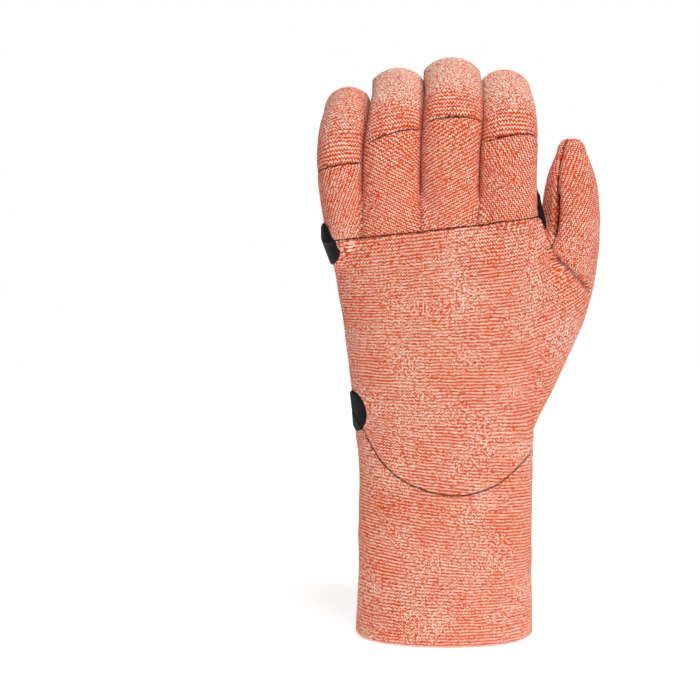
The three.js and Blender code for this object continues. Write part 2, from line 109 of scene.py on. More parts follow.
# Fingers from the little one: length, where the seam across the back lies, the seam's slope in
# degrees, and the slopes of the knit's courses on the back and on the tip
FINGERS = (
    {"name": "little", "length": 0.9, "seam": 0.43, "skew": 7.0, "back": 66.0, "tip": 4.0},
    {"name": "ring", "length": 0.98, "seam": 0.515, "skew": 13.0, "back": -27.0, "tip": 8.0},
    {"name": "middle", "length": 1.0, "seam": 0.545, "skew": 2.0, "back": 28.0, "tip": 0.0},
    {"name": "index", "length": 0.875, "seam": 0.485, "skew": 7.0, "back": -54.0, "tip": 3.0},
)

# The fingers' edges across the hand, as shares of the palm's width: height over the finger's
# length, outside, little, ring, middle, index
EDGES = np.array([
    (0.0, -0.585, -0.405, -0.131, 0.144, 0.426),
    (0.2, -0.608, -0.404, -0.13, 0.147, 0.427),
    (0.4, -0.616, -0.4, -0.128, 0.152, 0.427),
    (0.55, -0.602, -0.384, -0.119, 0.165, 0.426),
    (0.75, -0.55, -0.352, -0.1, 0.175, 0.42),
])
KNUCKLE_RISE = 6.5  # slope of the seam at the fingers' bases, in degrees
BASE_DEPTH = 1.16  # how much thicker the fingers are at their bases
BEND = (0.3, 0.88)  # where along a finger it bends
LEAN = (5.0, 66.0)  # its lean towards the palm before and after that, in degrees
SIDE_Y = -0.07 * PALM_DEPTH  # the seams along the hand's sides
COURSE_SLOPE_TOP = 6.5  # slope of the courses at the knuckles, in degrees

# The thumb: at, up, out, forward, half-width, half-depth, the way its seam faces in degrees
THUMB = np.array([
    (0.0, 0.0, 0.33, 0.03, 0.4, 0.4, 82.0),
    (0.16, 0.16, 0.435, 0.08, 0.52, 0.52, 76.0),
    (0.36, 0.36, 0.575, 0.15, 0.59, 0.65, 58.0),
    (0.5, 0.5, 0.694, 0.18, 0.565, 0.61, 55.0),
    (0.62, 0.62, 0.761, 0.205, 0.53, 0.53, 58.0),
    (0.74, 0.73, 0.794, 0.225, 0.483, 0.483, 54.0),
    (0.88, 0.85, 0.796, 0.245, 0.39, 0.39, 48.0),
    (1.0, 0.932, 0.796, 0.262, 0.23, 0.23, 44.0),
])
# The web between thumb and hand: x, y, z, half-size upwards, half-size across
WEB = np.array([(36.0, 3.0, 170.0, 15.0, 11.0), (48.0, 7.0, 175.5, 15.0, 12.0),
                (59.0, 14.0, 178.0, 13.0, 12.0)])
WEB_TOP = 190.0

# The wrist's seam: angle from the thumb side towards the palm, height as in BODY
WRIST = np.array([
    (36, 1.17), (50, 1.16), (75, 1.125), (105, 1.115), (160, 1.13), (186, 1.17), (203, 1.11),
    (221, 0.985), (240, 0.885), (272, 0.81), (300, 0.85), (329, 0.96), (360, 1.04), (396, 1.17),
], float)
# Sides of the black panel: height, angle
PANEL_THUMB = np.array([(-0.05, 25), (0.15, 28), (0.52, 34), (0.85, 33), (1.17, 36)])
PANEL_LITTLE = np.array([(-0.05, 127), (0.35, 131), (0.6, 139), (0.8, 153), (1.0, 168), (1.17, 186)])

# Round patches: node, centre and the way each faces
PATCHES = (
    ("thumb_side_wrist_patch", (40, 19, 114), (0.7, 0.71, 0.0)),
    ("little_side_wrist_patch", (-44, -4, 115), (-0.97, -0.24, 0.0)),
    ("little_side_knuckle_patch", (-60, -6, 198.5), (-0.92, -0.4, 0.0)),
    ("index_side_knuckle_patch", (46, 4.2, 215), (1.0, 0.06, 0.0)),
)


# Curves and sections

def unit(vectors):
    return vectors / np.linalg.norm(vectors, axis=-1, keepdims=True)


def ease(value, low, high):
    t = np.clip((np.asarray(value, float) - low) / (high - low), 0, 1)
    return t * t * (3 - 2 * t)


def curve(table, at):
    """Every column after the first, on a smooth curve through the rows."""
    at = np.atleast_1d(np.asarray(at, float))
    keys = table[:, 0]
    last = len(table) - 1
    i = np.clip(np.searchsorted(keys, at, side="right") - 1, 0, last - 1)
    span = (keys[i + 1] - keys[i])[:, None]
    t = np.clip((at[:, None] - keys[i][:, None]) / span, 0, 1)
    low = np.maximum(np.arange(last + 1) - 1, 0)
    high = np.minimum(np.arange(last + 1) + 1, last)
    slope = (table[high, 1:] - table[low, 1:]) / (keys[high] - keys[low])[:, None]
    a = table[i, 1:]
    b = table[i + 1, 1:]
    eased = t * t * (3 - 2 * t)
    bow = t * (1 - t) * ((1 - t) * slope[i] * span - t * slope[i + 1] * span)
    return a + (b - a) * eased + bow


def rounded(angle, power):
    c = np.cos(angle)
    s = np.sin(angle)
    return np.sign(c) * np.abs(c) ** (2 / power), np.sign(s) * np.abs(s) ** (2 / power)


def hand_size(at):
    """Width, depth and roundness of the hand's section at a height."""
    up = np.clip(np.asarray(at, float) - 1, 0, 1)
    width = CUFF_WIDTH + (PALM_WIDTH - CUFF_WIDTH) * up
    depth = CUFF_DEPTH + (PALM_DEPTH - CUFF_DEPTH) * up
    return width, depth, 2.1 + 0.25 * up


def hand_height(at):
    return np.minimum(at, 1) * CUFF_LENGTH + np.maximum(np.asarray(at) - 1, 0) * PALM_LENGTH


def hand_point(at, angle, reach=1.0):
    at = np.asarray(at, float)
    s = curve(BODY, np.clip(at, 0, 2.1).ravel())
    width, depth, power = (np.broadcast_to(v, at.shape).ravel() for v in hand_size(at))
    px, py = rounded(np.broadcast_to(angle, at.shape).ravel(), power)
    x = px * width * np.where(px > 0, s[:, 0], s[:, 1]) * reach
    y = py * depth * np.where(py > 0, s[:, 2], s[:, 3]) * reach
    z = hand_height(at.ravel()) + s[:, 4] * depth * (py * reach + 1)
    return np.stack([x, y, z], 1)


def hand_place(points):
    """The height and angle on the hand's section of points near it."""
    x, y, z = points.T
    at = np.where(z < CUFF_LENGTH, z / CUFF_LENGTH, 1 + (z - CUFF_LENGTH) / PALM_LENGTH)
    s = curve(BODY, np.clip(at, 0, 2.1))
    width, depth, power = hand_size(at)
    across = x / (width * np.where(x > 0, s[:, 0], s[:, 1]))
    deep = y / (depth * np.where(y > 0, s[:, 2], s[:, 3]))
    c = np.sign(across) * np.abs(across) ** (power / 2)
    d = np.sign(deep) * np.abs(deep) ** (power / 2)
    return at, np.degrees(np.arctan2(d, c)) % 360


def knuckle_height(x):
    return CUFF_LENGTH + PALM_LENGTH + x * math.tan(math.radians(KNUCKLE_RISE))


def finger_edges(z):
    return curve(EDGES, (np.atleast_1d(z) - CUFF_LENGTH - PALM_LENGTH) / FINGER_LENGTH) * PALM_WIDTH


def finger_curve(i):
    """A finger's centre line from its base to the centre of its round end."""
    length = FINGER_LENGTH * FINGERS[i]["length"]
    share = np.linspace(0, 1, FINGER_STATIONS)
    lean = np.radians(LEAN[0] + (LEAN[1] - LEAN[0]) * ease(share, *BEND))
    mid = (lean[1:] + lean[:-1]) / 2
    step = length / (FINGER_STATIONS - 1)
    base = finger_edges(CUFF_LENGTH + PALM_LENGTH)[0]
    y = SIDE_Y + np.concatenate([[0], np.cumsum(np.sin(mid) * step)])
    z = knuckle_height((base[i] + base[i + 1]) / 2)
    z = z + np.concatenate([[0], np.cumsum(np.cos(mid) * step)])
    edges = finger_edges(z)
    left = edges[:, i] - (SQUEEZE if i > 0 else 0)
    right = edges[:, i + 1] + (SQUEEZE if i < 3 else 0)
    half = (right - left) / 2
    narrow = 2 * half / FINGER_WIDTH
    thinner = BASE_DEPTH + (1 - BASE_DEPTH) * ease(share, 0, 0.35)
    return {
        "share": share,
        "length": length,
        "x": (left + right) / 2,
        "y": y,
        "z": z,
        "lean": lean,
        "wide": half,
        "deep": (0.55 + 0.45 * narrow) * FINGER_DEPTH * thinner / 2,
    }


FINGER_CURVES = [finger_curve(i) for i in range(4)]


def finger_place(i, points):
    """Distances along a finger, in front of its centre line and across it."""
    c = FINGER_CURVES[i]
    x, y, z = points.T
    pick = np.empty(len(points), int)
    for start in range(0, len(points), 20000):
        part = slice(start, start + 20000)
        far = (y[part, None] - c["y"]) ** 2 + (z[part, None] - c["z"]) ** 2
        pick[part] = far.argmin(1)
    lean = c["lean"][pick]
    dy = y - c["y"][pick]
    dz = z - c["z"][pick]
    along = c["share"][pick] * c["length"] + dy * np.sin(lean) + dz * np.cos(lean)
    front = dy * np.cos(lean) - dz * np.sin(lean)
    across = x - c["x"][pick]
    return along, front, across


def thumb_place(points):
    """The thumb's centre, the way its seam faces and its half-width at the points' heights."""
    heights = CUFF_LENGTH + THUMB[:, 1] * THUMB_REACH
    at = np.interp(points[:, 2], heights, THUMB[:, 0])
    s = curve(THUMB, at)
    centre = np.stack([s[:, 1] * THUMB_SPREAD, s[:, 2] * THUMB_SPREAD], 1)
    return centre, np.radians(s[:, 5]), s[:, 3] * THUMB_WIDTH


# Lofts

def loft(rings):
    """A closed mesh through rings of points, with a fan at both ends."""
    rows, sides = len(rings), len(rings[0])
    points = np.concatenate([*rings, rings[0].mean(0)[None], rings[-1].mean(0)[None]])
    i, j = np.meshgrid(np.arange(rows - 1), np.arange(sides), indexing="ij")
    a = (i * sides + j).ravel()
    b = (i * sides + (j + 1) % sides).ravel()
    side = np.concatenate([np.stack([a, b, b + sides], 1), np.stack([a, b + sides, a + sides], 1)])
    j = np.arange(sides)
    n = (j + 1) % sides
    first, final, top = rows * sides, rows * sides + 1, (rows - 1) * sides
    low = np.stack([np.full(sides, first), n, j], 1)
    high = np.stack([np.full(sides, final), top + j, top + n], 1)
    return points, np.concatenate([side, low, high])


def tube(centre, side, behind, ahead, wide, deep, end_power=TUBE_POWER, pressed=1.0):
    """A tube through stations, closed by a round end."""
    angle = np.linspace(0, 2 * math.pi, 64, endpoint=False)
    rings = []
    for k in range(len(centre)):
        share = ease(k / (len(centre) - 1), 0.45, 1)
        px, py = rounded(angle, TUBE_POWER + (end_power - TUBE_POWER) * share)
        px = np.clip(px * (1 + (pressed - 1) * share), -1, 1)
        rings.append(centre[k] + np.outer(px * wide[k], side[k]) - np.outer(py * deep[k], behind[k]))
    radius = (wide[-1] + deep[-1]) / 2
    for turn in np.radians(np.arange(6, 90, 6)):
        c = math.cos(turn) ** 0.97
        rings.append(centre[-1] + ahead[-1] * radius * math.sin(turn)
                     + np.outer(px * wide[-1] * c, side[-1])
                     - np.outer(py * deep[-1] * c, behind[-1]))
    return loft(rings)


def finger_loft(i):
    c = FINGER_CURVES[i]
    centre = np.stack([c["x"], c["y"], c["z"]], 1)
    ahead = np.stack([np.zeros_like(c["y"]), np.sin(c["lean"]), np.cos(c["lean"])], 1)
    behind = np.stack([np.zeros_like(c["y"]), -np.cos(c["lean"]), np.sin(c["lean"])], 1)
    # A smaller station below the base is the root inside the hand.
    again = [0, *range(FINGER_STATIONS)]
    centre, ahead, behind, wide, deep = (v[again] for v in (centre, ahead, behind, c["wide"], c["deep"]))
    centre[0] -= ahead[0] * 0.15 * FINGER_LENGTH
    wide[0] *= 0.5
    deep[0] *= 0.5
    side = np.tile([1.0, 0, 0], (len(centre), 1))
    return tube(centre, side, behind, ahead, wide, deep, end_power=TIP_POWER, pressed=PRESSED)


def thumb_loft():
    at = np.linspace(0, 1, 80)
    s = curve(THUMB, at)
    centre = np.stack([s[:, 1] * THUMB_SPREAD, s[:, 2] * THUMB_SPREAD,
                       CUFF_LENGTH + s[:, 0] * THUMB_REACH], 1)
    ahead = unit(np.gradient(centre, axis=0))
    turn = np.radians(s[:, 5])
    flat = np.stack([np.cos(turn), np.sin(turn), np.zeros_like(turn)], 1)
    side = unit(flat - ahead * (flat * ahead).sum(1)[:, None])
    return tube(centre, side, np.cross(side, ahead), ahead, s[:, 3] * THUMB_WIDTH,
                s[:, 4] * THUMB_WIDTH)


def web_loft():
    centre = WEB[:, :3]
    ahead = unit(centre[-1] - centre[0])
    side = unit(np.array([0, 0, 1.0]) - ahead * ahead[2])
    tiled = [np.tile(v, (len(WEB), 1)) for v in (side, np.cross(side, ahead), ahead)]
    return tube(centre, *tiled, WEB[:, 3], WEB[:, 4])


def hand_loft():
    angle = np.linspace(0, 2 * math.pi, 180, endpoint=False)
    rings = []
    for at in np.linspace(-0.06, 2.07, 110):
        ring = hand_point(np.full(len(angle), max(at, 0)), angle)
        ring[:, 2] += min(at, 0) * CUFF_LENGTH
        rings.append(ring)
    for reach, rise in ((0.9, 0.3), (0.6, 0.7)):
        ring = hand_point(np.full(len(angle), 2.1), angle, reach)
        ring[:, 2] += WALL * rise
        rings.append(ring)
    return loft(rings)


# The skin

def spread_at(points):
    return SPREAD * ease(points[:, 2], SPREAD_FROM, SPREAD_FULL)


def spread_out(points, finger=None):
    """Moves the fingers apart, so that the remesh keeps them apart."""
    out = points.copy()
    share = spread_at(points)
    if finger is not None:
        out[:, 0] += share * (finger - 1.5)
        return out
    edges = finger_edges(points[:, 2])
    steps = sum(np.clip((points[:, 0] - edges[:, k]) / CONTACT + 0.5, 0, 1) for k in (1, 2, 3))
    out[:, 0] += share * (steps - 1.5)
    return out


def spread_back(points):
    """Moves the fingers together again, flat against each other where they press."""
    out = points.copy()
    share = spread_at(points)
    hold = np.where(share > 1, CONTACT / 2, 0)
    edges = finger_edges(points[:, 2])
    steps = np.zeros(len(points))
    for k in (1, 2, 3):
        past = points[:, 0] - edges[:, k] - share * (k - 1 - 1.5)
        steps += np.clip(past / np.maximum(share, 1e-6), 0, 1)
        between = (past > -hold) & (past < share + hold)
        out[:, 0] += between * np.where(past < share / 2, -hold, hold)
    # The thumb lies beyond the index finger, and is spread with it.
    out[:, 0] -= share * (steps - 1.5)
    return out


def join(parts):
    points, faces, start = [], [], 0
    for p, f in parts:
        points.append(p)
        faces.append(f + start)
        start += len(p)
    return np.concatenate(points), np.concatenate(faces)


def placed(name, data):
    obj = bpy.data.objects.new(name, data)
    bpy.context.scene.collection.objects.link(obj)
    return obj


def mesh_of(name, points, faces):
    mesh = bpy.data.meshes.new(name)
    mesh.from_pydata(points.tolist(), [], faces.tolist())
    mesh.update()
    return mesh


def remeshed(points, faces):
    obj = placed("skin", mesh_of("skin", points, faces))
    remesh = obj.modifiers.new("remesh", "REMESH")
    remesh.mode = "VOXEL"
    remesh.voxel_size = VOXEL
    remesh.adaptivity = 0
    mesh = bpy.data.meshes.new_from_object(obj.evaluated_get(bpy.context.evaluated_depsgraph_get()))
    out = np.empty(len(mesh.vertices) * 3)
    mesh.vertices.foreach_get("co", out)
    mesh.calc_loop_triangles()
    tris = np.empty(len(mesh.loop_triangles) * 3, int)
    mesh.loop_triangles.foreach_get("vertices", tris)
    bpy.data.objects.remove(obj, do_unlink=True)
    return out.reshape(-1, 3), tris.reshape(-1, 3)


def sides_of(faces):
    return np.concatenate([faces[:, [0, 1]], faces[:, [1, 2]], faces[:, [2, 0]]])


def smoothed(points, faces, rounds):
    """Evens out the steps of the remesh: every second pass undoes the shrinking."""
    edges = np.unique(np.sort(sides_of(faces), axis=1), axis=0)
    a, b = edges.T
    count = np.bincount(edges.ravel(), minlength=len(points))[:, None]
    for k in range(rounds * 2):
        total = np.stack([
            np.bincount(a, points[b, axis], len(points)) + np.bincount(b, points[a, axis], len(points))
            for axis in range(3)
        ], 1)
        step = EASE_IN if k % 2 == 0 else EASE_OUT
        points = points + step * (total / np.maximum(count, 1) - points)
    return points


def normals_of(points, faces):
    cross = np.cross(points[faces[:, 1]] - points[faces[:, 0]], points[faces[:, 2]] - points[faces[:, 0]])
    out = np.stack([
        sum(np.bincount(faces[:, k], cross[:, axis], len(points)) for k in range(3))
        for axis in range(3)
    ], 1)
    return out / np.maximum(np.linalg.norm(out, axis=1), 1e-9)[:, None]


# The seams' fields: each is nought on its seam, and FAR where the seam doesn't run

FAR = 50.0
WRIST_TOP = 140.0  # the wrist's seam stays below this
DIVIDED_FROM = 204.0  # the fingers' panels meet side by side above this
DEGREE = 0.62  # a degree round the cuff, in millimetres
STEP_FIELD = 5.0  # a field doesn't cut where it jumps by more than this
SNAP = 0.04  # corners this near a seam are taken to lie on it
THUMB_FROM = 44.0  # the free thumb lies beyond this x, and the hand at the fingers' bases within
HAND_TO = 48.0
WEB_LEAN = 6.3  # how far the hand's side seam leans towards the palm at the web


def is_thumb(points):
    centre, _, wide = thumb_place(points)
    off = np.hypot(points[:, 0] - centre[:, 0], points[:, 1] - centre[:, 1])
    return (points[:, 2] > WEB_TOP) & (off < wide * 1.4) & (points[:, 0] > THUMB_FROM)


def wrist_field(points):
    _, angle = hand_place(points)
    angle = np.where(angle < WRIST[0, 0], angle + 360, angle)
    return points[:, 2] - hand_height(curve(WRIST, angle)[:, 0])


def panel_field(points):
    """Inside the black panel's two sides, in millimetres."""
    at, angle = hand_place(points)
    low = curve(PANEL_THUMB, at)[:, 0]
    high = curve(PANEL_LITTLE, at)[:, 0]
    angle = np.where(angle > 300, angle - 360, angle)
    near = np.minimum(angle - low, high - angle)
    return np.where(wrist_field(points) < 3, near * DEGREE, FAR)


def side_field(points):
    """Palm side above nought, back below it."""
    x, y, z = points.T
    centre, turn, _ = thumb_place(points)
    # The hand's own seam, which leans forward to the web
    low = WEB_TOP - 8
    forward = np.where(x > 20, WEB_LEAN * (1 - ease(z, low, low + 16)), 0)
    hand = y - SIDE_Y - forward
    # The thumb's seam: out along its turn, and in along a line that swings level at the web
    level = turn * ease(z, 176, 200)
    dx = x - centre[:, 0]
    dy = y - centre[:, 1]
    outer = -np.sin(turn) * dx + np.cos(turn) * dy
    inner = -np.sin(level) * dx + np.cos(level) * dy
    thumb = np.minimum(outer, inner)
    # From the one to the other, further out the higher up
    rise = ease(z, 172, 190)
    share = ease(x, 10 + 36 * rise, 25 + 29 * rise)
    share = np.where(z > WEB_TOP, is_thumb(points), share)
    field = hand + (thumb - hand) * share
    # On the fingers the seam follows their centre lines.
    grown = ease(z, 200, 212) * (1 - is_thumb(points))
    which = finger_of(points)
    finger = np.zeros(len(points))
    for i in range(4):
        mine = (which == i) & (grown > 0)
        if mine.any():
            finger[mine] = finger_place(i, points[mine])[1]
    return field + (finger - field) * grown


def knuckle_field(points):
    field = points[:, 2] - knuckle_height(points[:, 0])
    return np.where(is_thumb(points) | (points[:, 0] > HAND_TO), -FAR, field)


def finger_of(points):
    """The number of the finger that each point belongs to, by the edges between fingers."""
    edges = finger_edges(points[:, 2])
    return sum((points[:, 0] > edges[:, k]).astype(int) for k in (1, 2, 3))


def tip_field(points):
    """Above nought beyond the seam across each finger's back."""
    out = np.full(len(points), -FAR)
    which = finger_of(points)
    high = (knuckle_field(points) > -2) & ~is_thumb(points)
    for i, row in enumerate(FINGERS):
        mine = high & (which == i)
        if not mine.any():
            continue
        along, _, across = finger_place(i, points[mine])
        length = FINGER_CURVES[i]["length"]
        out[mine] = along - row["seam"] * length - across * math.tan(math.radians(row["skew"]))
    return out


def divider_field(k):
    def field(points):
        near = points[:, 0] - finger_edges(points[:, 2])[:, k]
        return np.where(points[:, 2] > DIVIDED_FROM, near, FAR)
    return field


def rim_field(points):
    return points[:, 2]


def masked(field, when):
    return lambda points: np.where(when(points), field(points), FAR)


SEAMS = [
    rim_field,
    masked(wrist_field, lambda p: p[:, 2] < WRIST_TOP),
    panel_field,
    masked(side_field, lambda p: wrist_field(p) > -2),
    masked(knuckle_field, lambda p: side_field(p) < 2),
    masked(tip_field, lambda p: side_field(p) < 2),
    *[divider_field(k) for k in (1, 2, 3)],
]


def split(points, faces, field):
    """Cuts the triangles along a field's nought line."""
    level = field(points)
    level = np.where(np.abs(level) < SNAP, 0.0, level)
    sign = np.sign(level).astype(int)
    corner = sign[faces]
    near = np.abs(level[faces]).max(1) < STEP_FIELD
    cut = (corner.max(1) > 0) & (corner.min(1) < 0) & near
    kept, faces, corner = faces[~cut], faces[cut], corner[cut]
    if not len(faces):
        return points, kept
    # The corner that lies on the line, or alone on its side, comes first.
    alone = np.where((corner == 0).any(1), (corner == 0).argmax(1),
                     (corner == -corner.sum(1)[:, None]).argmax(1))
    order = (alone[:, None] + np.arange(3)) % 3
    faces = np.take_along_axis(faces, order, 1)
    corner = np.take_along_axis(corner, order, 1)
    touches = corner[:, 0] == 0
    pairs = np.concatenate([faces[touches][:, [1, 2]], faces[~touches][:, [0, 1]],
                            faces[~touches][:, [0, 2]]])
    pairs = np.sort(pairs, axis=1)
    unique, where = np.unique(pairs, axis=0, return_inverse=True)
    where = where.ravel()
    a, b = unique.T
    t = (level[a] / (level[a] - level[b]))[:, None]
    made = points[a] + (points[b] - points[a]) * t
    n = len(points)
    one, two = touches.sum(), (~touches).sum()
    on = faces[touches]
    m = n + where[:one]
    off = faces[~touches]
    p = n + where[one:one + two]
    q = n + where[one + two:]
    new = [
        np.stack([on[:, 0], on[:, 1], m], 1), np.stack([on[:, 0], m, on[:, 2]], 1),
        np.stack([off[:, 0], p, q], 1), np.stack([p, off[:, 1], off[:, 2]], 1),
        np.stack([p, off[:, 2], q], 1),
    ]
    return np.concatenate([points, made]), np.concatenate([kept, *new])


# The numbers of the first finger's back and tip among the panels
FIRST_BACK = 4
FIRST_TIP = 8
PANELS = (
    ["cuff", "wrist_panel", "back_panel", "palm_panel"]
    + [f"{row['name']}_finger_back" for row in FINGERS]
    + [f"{row['name']}_fingertip" for row in FINGERS]
)


def panel_of(points):
    """The number of the panel that each point lies on."""
    out = np.full(len(points), PANELS.index("back_panel"))
    below = (wrist_field(points) < 0) & (points[:, 2] < WRIST_TOP)
    palm = side_field(points) > 0
    high = knuckle_field(points) > 0
    finger = finger_of(points) + np.where(tip_field(points) > 0, FIRST_TIP, FIRST_BACK)
    out = np.where(high & ~palm, finger, out)
    out = np.where(palm, PANELS.index("palm_panel"), out)
    out = np.where(below, PANELS.index("cuff"), out)
    return np.where(below & (panel_field(points) > 0), PANELS.index("wrist_panel"), out)


def compact(faces):
    """The points that the faces use, and the faces over those points alone."""
    used, local = np.unique(faces, return_inverse=True)
    return used, local.reshape(-1, 3)


def build_skin():
    parts = [hand_loft(), thumb_loft(), web_loft()]
    parts = [(spread_out(p), f) for p, f in parts]
    for i in range(4):
        p, f = finger_loft(i)
        parts.append((spread_out(p, i), f))
    points, faces = remeshed(*join(parts))
    points = smoothed(points, faces, SMOOTHINGS)
    points = spread_back(points)
    for field in SEAMS:
        points, faces = split(points, faces, field)
    used, faces = compact(faces[points[faces].mean(1)[:, 2] > 0])
    return points[used], faces


points, faces = build_skin()
label = panel_of(points[faces].mean(1))


# The lines where panels meet

def borders(faces, label):
    """Edges between two panels, and their two panels."""
    owner = np.tile(label, 3)
    pairs = np.sort(sides_of(faces), axis=1)
    order = np.lexsort((pairs[:, 1], pairs[:, 0]))
    pairs, owner = pairs[order], owner[order]
    same = (pairs[1:] == pairs[:-1]).all(1)
    k = np.nonzero(same)[0]
    k = k[owner[k] != owner[k + 1]]
    return pairs[k], np.sort(np.stack([owner[k], owner[k + 1]], 1), axis=1)


seam_edges, seam_owners = borders(faces, label)
backs = (seam_owners >= FIRST_BACK).all(1)
crease = backs & (seam_owners[:, 0] % len(FINGERS) != seam_owners[:, 1] % len(FINGERS))
sewn = seam_edges[~crease]


def tree_of(spots):
    tree = kdtree.KDTree(len(spots))
    for k, p in enumerate(spots):
        tree.insert(p, k)
    tree.balance()
    return tree


def distance_to(lines):
    middle = (points[lines[:, 0]] + points[lines[:, 1]]) / 2
    tree = tree_of(np.concatenate([points[np.unique(lines)], middle]))
    return np.array([tree.find(p)[2] for p in points])


seam_distance = distance_to(sewn)
crease_distance = distance_to(seam_edges[crease])


def chains(edges):
    """The edges strung into lines."""
    links = {}
    for a, b in edges.tolist():
        links.setdefault(a, []).append(b)
        links.setdefault(b, []).append(a)
    done = set()
    lines = []

    def follow(start, following):
        line = [start, following]
        done.add(frozenset(line))
        while len(links[line[-1]]) == 2:
            ahead = [n for n in links[line[-1]] if frozenset((n, line[-1])) not in done]
            if not ahead:
                break
            done.add(frozenset((ahead[0], line[-1])))
            line.append(ahead[0])
        return line

    ends = [n for n in links if len(links[n]) != 2]
    for start in [*ends, *links]:
        for following in links[start]:
            if frozenset((start, following)) not in done:
                lines.append(follow(start, following))
    return [line for line in lines if len(line) > 3]


# Relief: grooves, folds and a little unevenness

# Folds: side, depth, width and the line as x, z
FOLDS = (
    ("back", 1.6, 1.9, [(51, 196), (54, 191), (59, 187), (65, 182), (70, 177), (73, 170)]),
    ("back", 0.6, 3.0, [(50, 186), (55, 178), (60, 171)]),
    ("back", 0.7, 6.0, [(-44, 189), (-15, 187), (15, 190), (36, 194)]),
    ("back", 0.45, 4.0, [(30, 150), (36, 136), (41, 124)]),
    ("back", 0.4, 4.0, [(-40, 132), (-34, 122), (-24, 112)]),
    ("palm", 1.9, 3.4, [(47, 192), (43, 184), (38, 174), (34, 164), (31, 152), (31, 138)]),
    ("palm", 1.1, 2.6, [(46, 201), (36, 199), (24, 196)]),
    ("palm", 0.8, 4.0, [(-46, 190), (-20, 198), (4, 203), (20, 206)]),
    ("palm", 0.7, 4.5, [(-44, 160), (-22, 170), (-2, 184)]),
    ("palm", 0.5, 4.0, [(8, 130), (14, 146), (22, 160)]),
)
# Between the backs of the fingers
CREASE_DEPTH = 0.8
CREASE_WIDTH = 1.4
# The foam swells beside a seam: height, distance from the seam, width
SWELL, SWELL_AT, SWELL_WIDTH = 0.22, 3.0, 1.7
TOUCH_WIDTH = 1.3  # of the strip where fingers touch
# Unevenness of the foam: height, size, seed
UNEVEN = ((0.22, 34, 5), (0.1, 13, 8))
# The opened seam on the thumb's inner side
SLIT_TOP = 223.5
SLIT_LOW = 200.0
SLIT_DEPTH = 2.4
SLIT_WIDTH = 1.3


def line_distance(points, line):
    """Distance in x and z to a line of points, and how far along it, 0 to 1."""
    spot = points[:, [0, 2]]
    line = np.array(line, float)
    far = np.full(len(points), 1e9)
    share = np.zeros(len(points))
    for k in range(len(line) - 1):
        a, b = line[k], line[k + 1]
        t = np.clip(((spot - a) @ (b - a)) / ((b - a) @ (b - a)), 0, 1)
        d = np.linalg.norm(spot - a - t[:, None] * (b - a), axis=1)
        near = d < far
        far = np.where(near, d, far)
        share = np.where(near, (k + t) / (len(line) - 1), share)
    return far, share


def ripple(points, size, seed):
    """A soft random relief between about -1 and 1, its bumps about size across."""
    rng = np.random.default_rng(seed)
    total = np.zeros(len(points))
    for _ in range(9):
        way = unit(rng.normal(size=3))
        total += np.sin(points @ way * (2 * math.pi / size) * rng.uniform(0.6, 1.4) + rng.uniform(0, 7))
    return total / 3


side_level = side_field(points)
thumb_side = is_thumb(points)
normal = normals_of(points, faces)
smooth_normal = unit(smoothed(normal, faces, 6))
inner_thumb = thumb_side & (thumb_place(points)[0][:, 0] > points[:, 0])
slit = (inner_thumb * ease(points[:, 2], SLIT_LOW, SLIT_LOW + 4)
        * (1 - ease(points[:, 2], SLIT_TOP - 1.5, SLIT_TOP)))


def fold_places():
    """The depth and width of each of the folds, every point's distance from it and its strength there."""
    for where, depth, width, line in FOLDS:
        far, share = line_distance(points, line)
        on = side_level < 0 if where == "back" else side_level > 0
        fade = ease(share, 0, 0.25) * (1 - ease(share, 0.75, 1))
        yield depth, width, far, fade * on * ((points[:, 2] < 210) | thumb_side)


def touching():
    """Where neighbouring fingers touch, 0 to 1."""
    edges = finger_edges(points[:, 2])
    near = np.min([np.abs(points[:, 0] - edges[:, k]) for k in (1, 2, 3)], axis=0)
    return np.exp(-(near / TOUCH_WIDTH) ** 2) * ease(points[:, 2], 214, 224) * ~thumb_side


touch = touching()


def rim_rounding():
    """How far the rounded rim draws the skin in."""
    low = np.clip(RIM_ROUND - points[:, 2], 0, RIM_ROUND)
    return RIM_ROUND - np.sqrt(RIM_ROUND ** 2 - low ** 2)


rim_inset = rim_rounding()


def relief():
    """How far the face stands out from the skin, in millimetres."""
    apart = 1 - touch
    push = -GROOVE_DEPTH * apart * np.exp(-(seam_distance / GROOVE_WIDTH) ** 2)
    push += SWELL * apart * np.exp(-((seam_distance - SWELL_AT) / SWELL_WIDTH) ** 2)
    push -= CREASE_DEPTH * apart * np.exp(-(crease_distance / CREASE_WIDTH) ** 2)
    push -= SLIT_DEPTH * slit * np.exp(-(seam_distance / SLIT_WIDTH) ** 2)
    for depth, width, far, strength in fold_places():
        push += depth * strength * (0.35 * np.exp(-((far - width * 1.6) / width) ** 2)
                                    - np.exp(-(far / width) ** 2))
    push += apart * sum(height * ripple(points, size, seed) for height, size, seed in UNEVEN)
    return push - rim_inset


def painted_fold_shade():
    """How much painted shade darkens the knit in its folds, along the finger creases, where fingers touch
    and in the opened seam, 0 to 1.
    """
    out = np.maximum(0.6 * np.exp(-(crease_distance / 1.5) ** 2), 0.5 * touch)
    for depth, width, far, strength in fold_places():
        out = np.maximum(out, ease(depth, 0.8, 1.5) * strength * np.exp(-(far / (0.7 * width)) ** 2))
    return np.maximum(out, slit * np.exp(-(seam_distance / (1.2 * SLIT_WIDTH)) ** 2))


# Painted shade of the folds, creases and opened seam, carried to the knit as an attribute
painted_shade = painted_fold_shade()
outer = points + normal * relief()[:, None]
inner = points - smooth_normal * WALL
inner += smooth_normal * (0.6 * rim_inset)[:, None]


# The knit's coordinates, in millimetres across and along its courses

ARC_AT = np.linspace(0, 2.1, 60)
ARC_ANGLE = np.linspace(0, 360, 361)


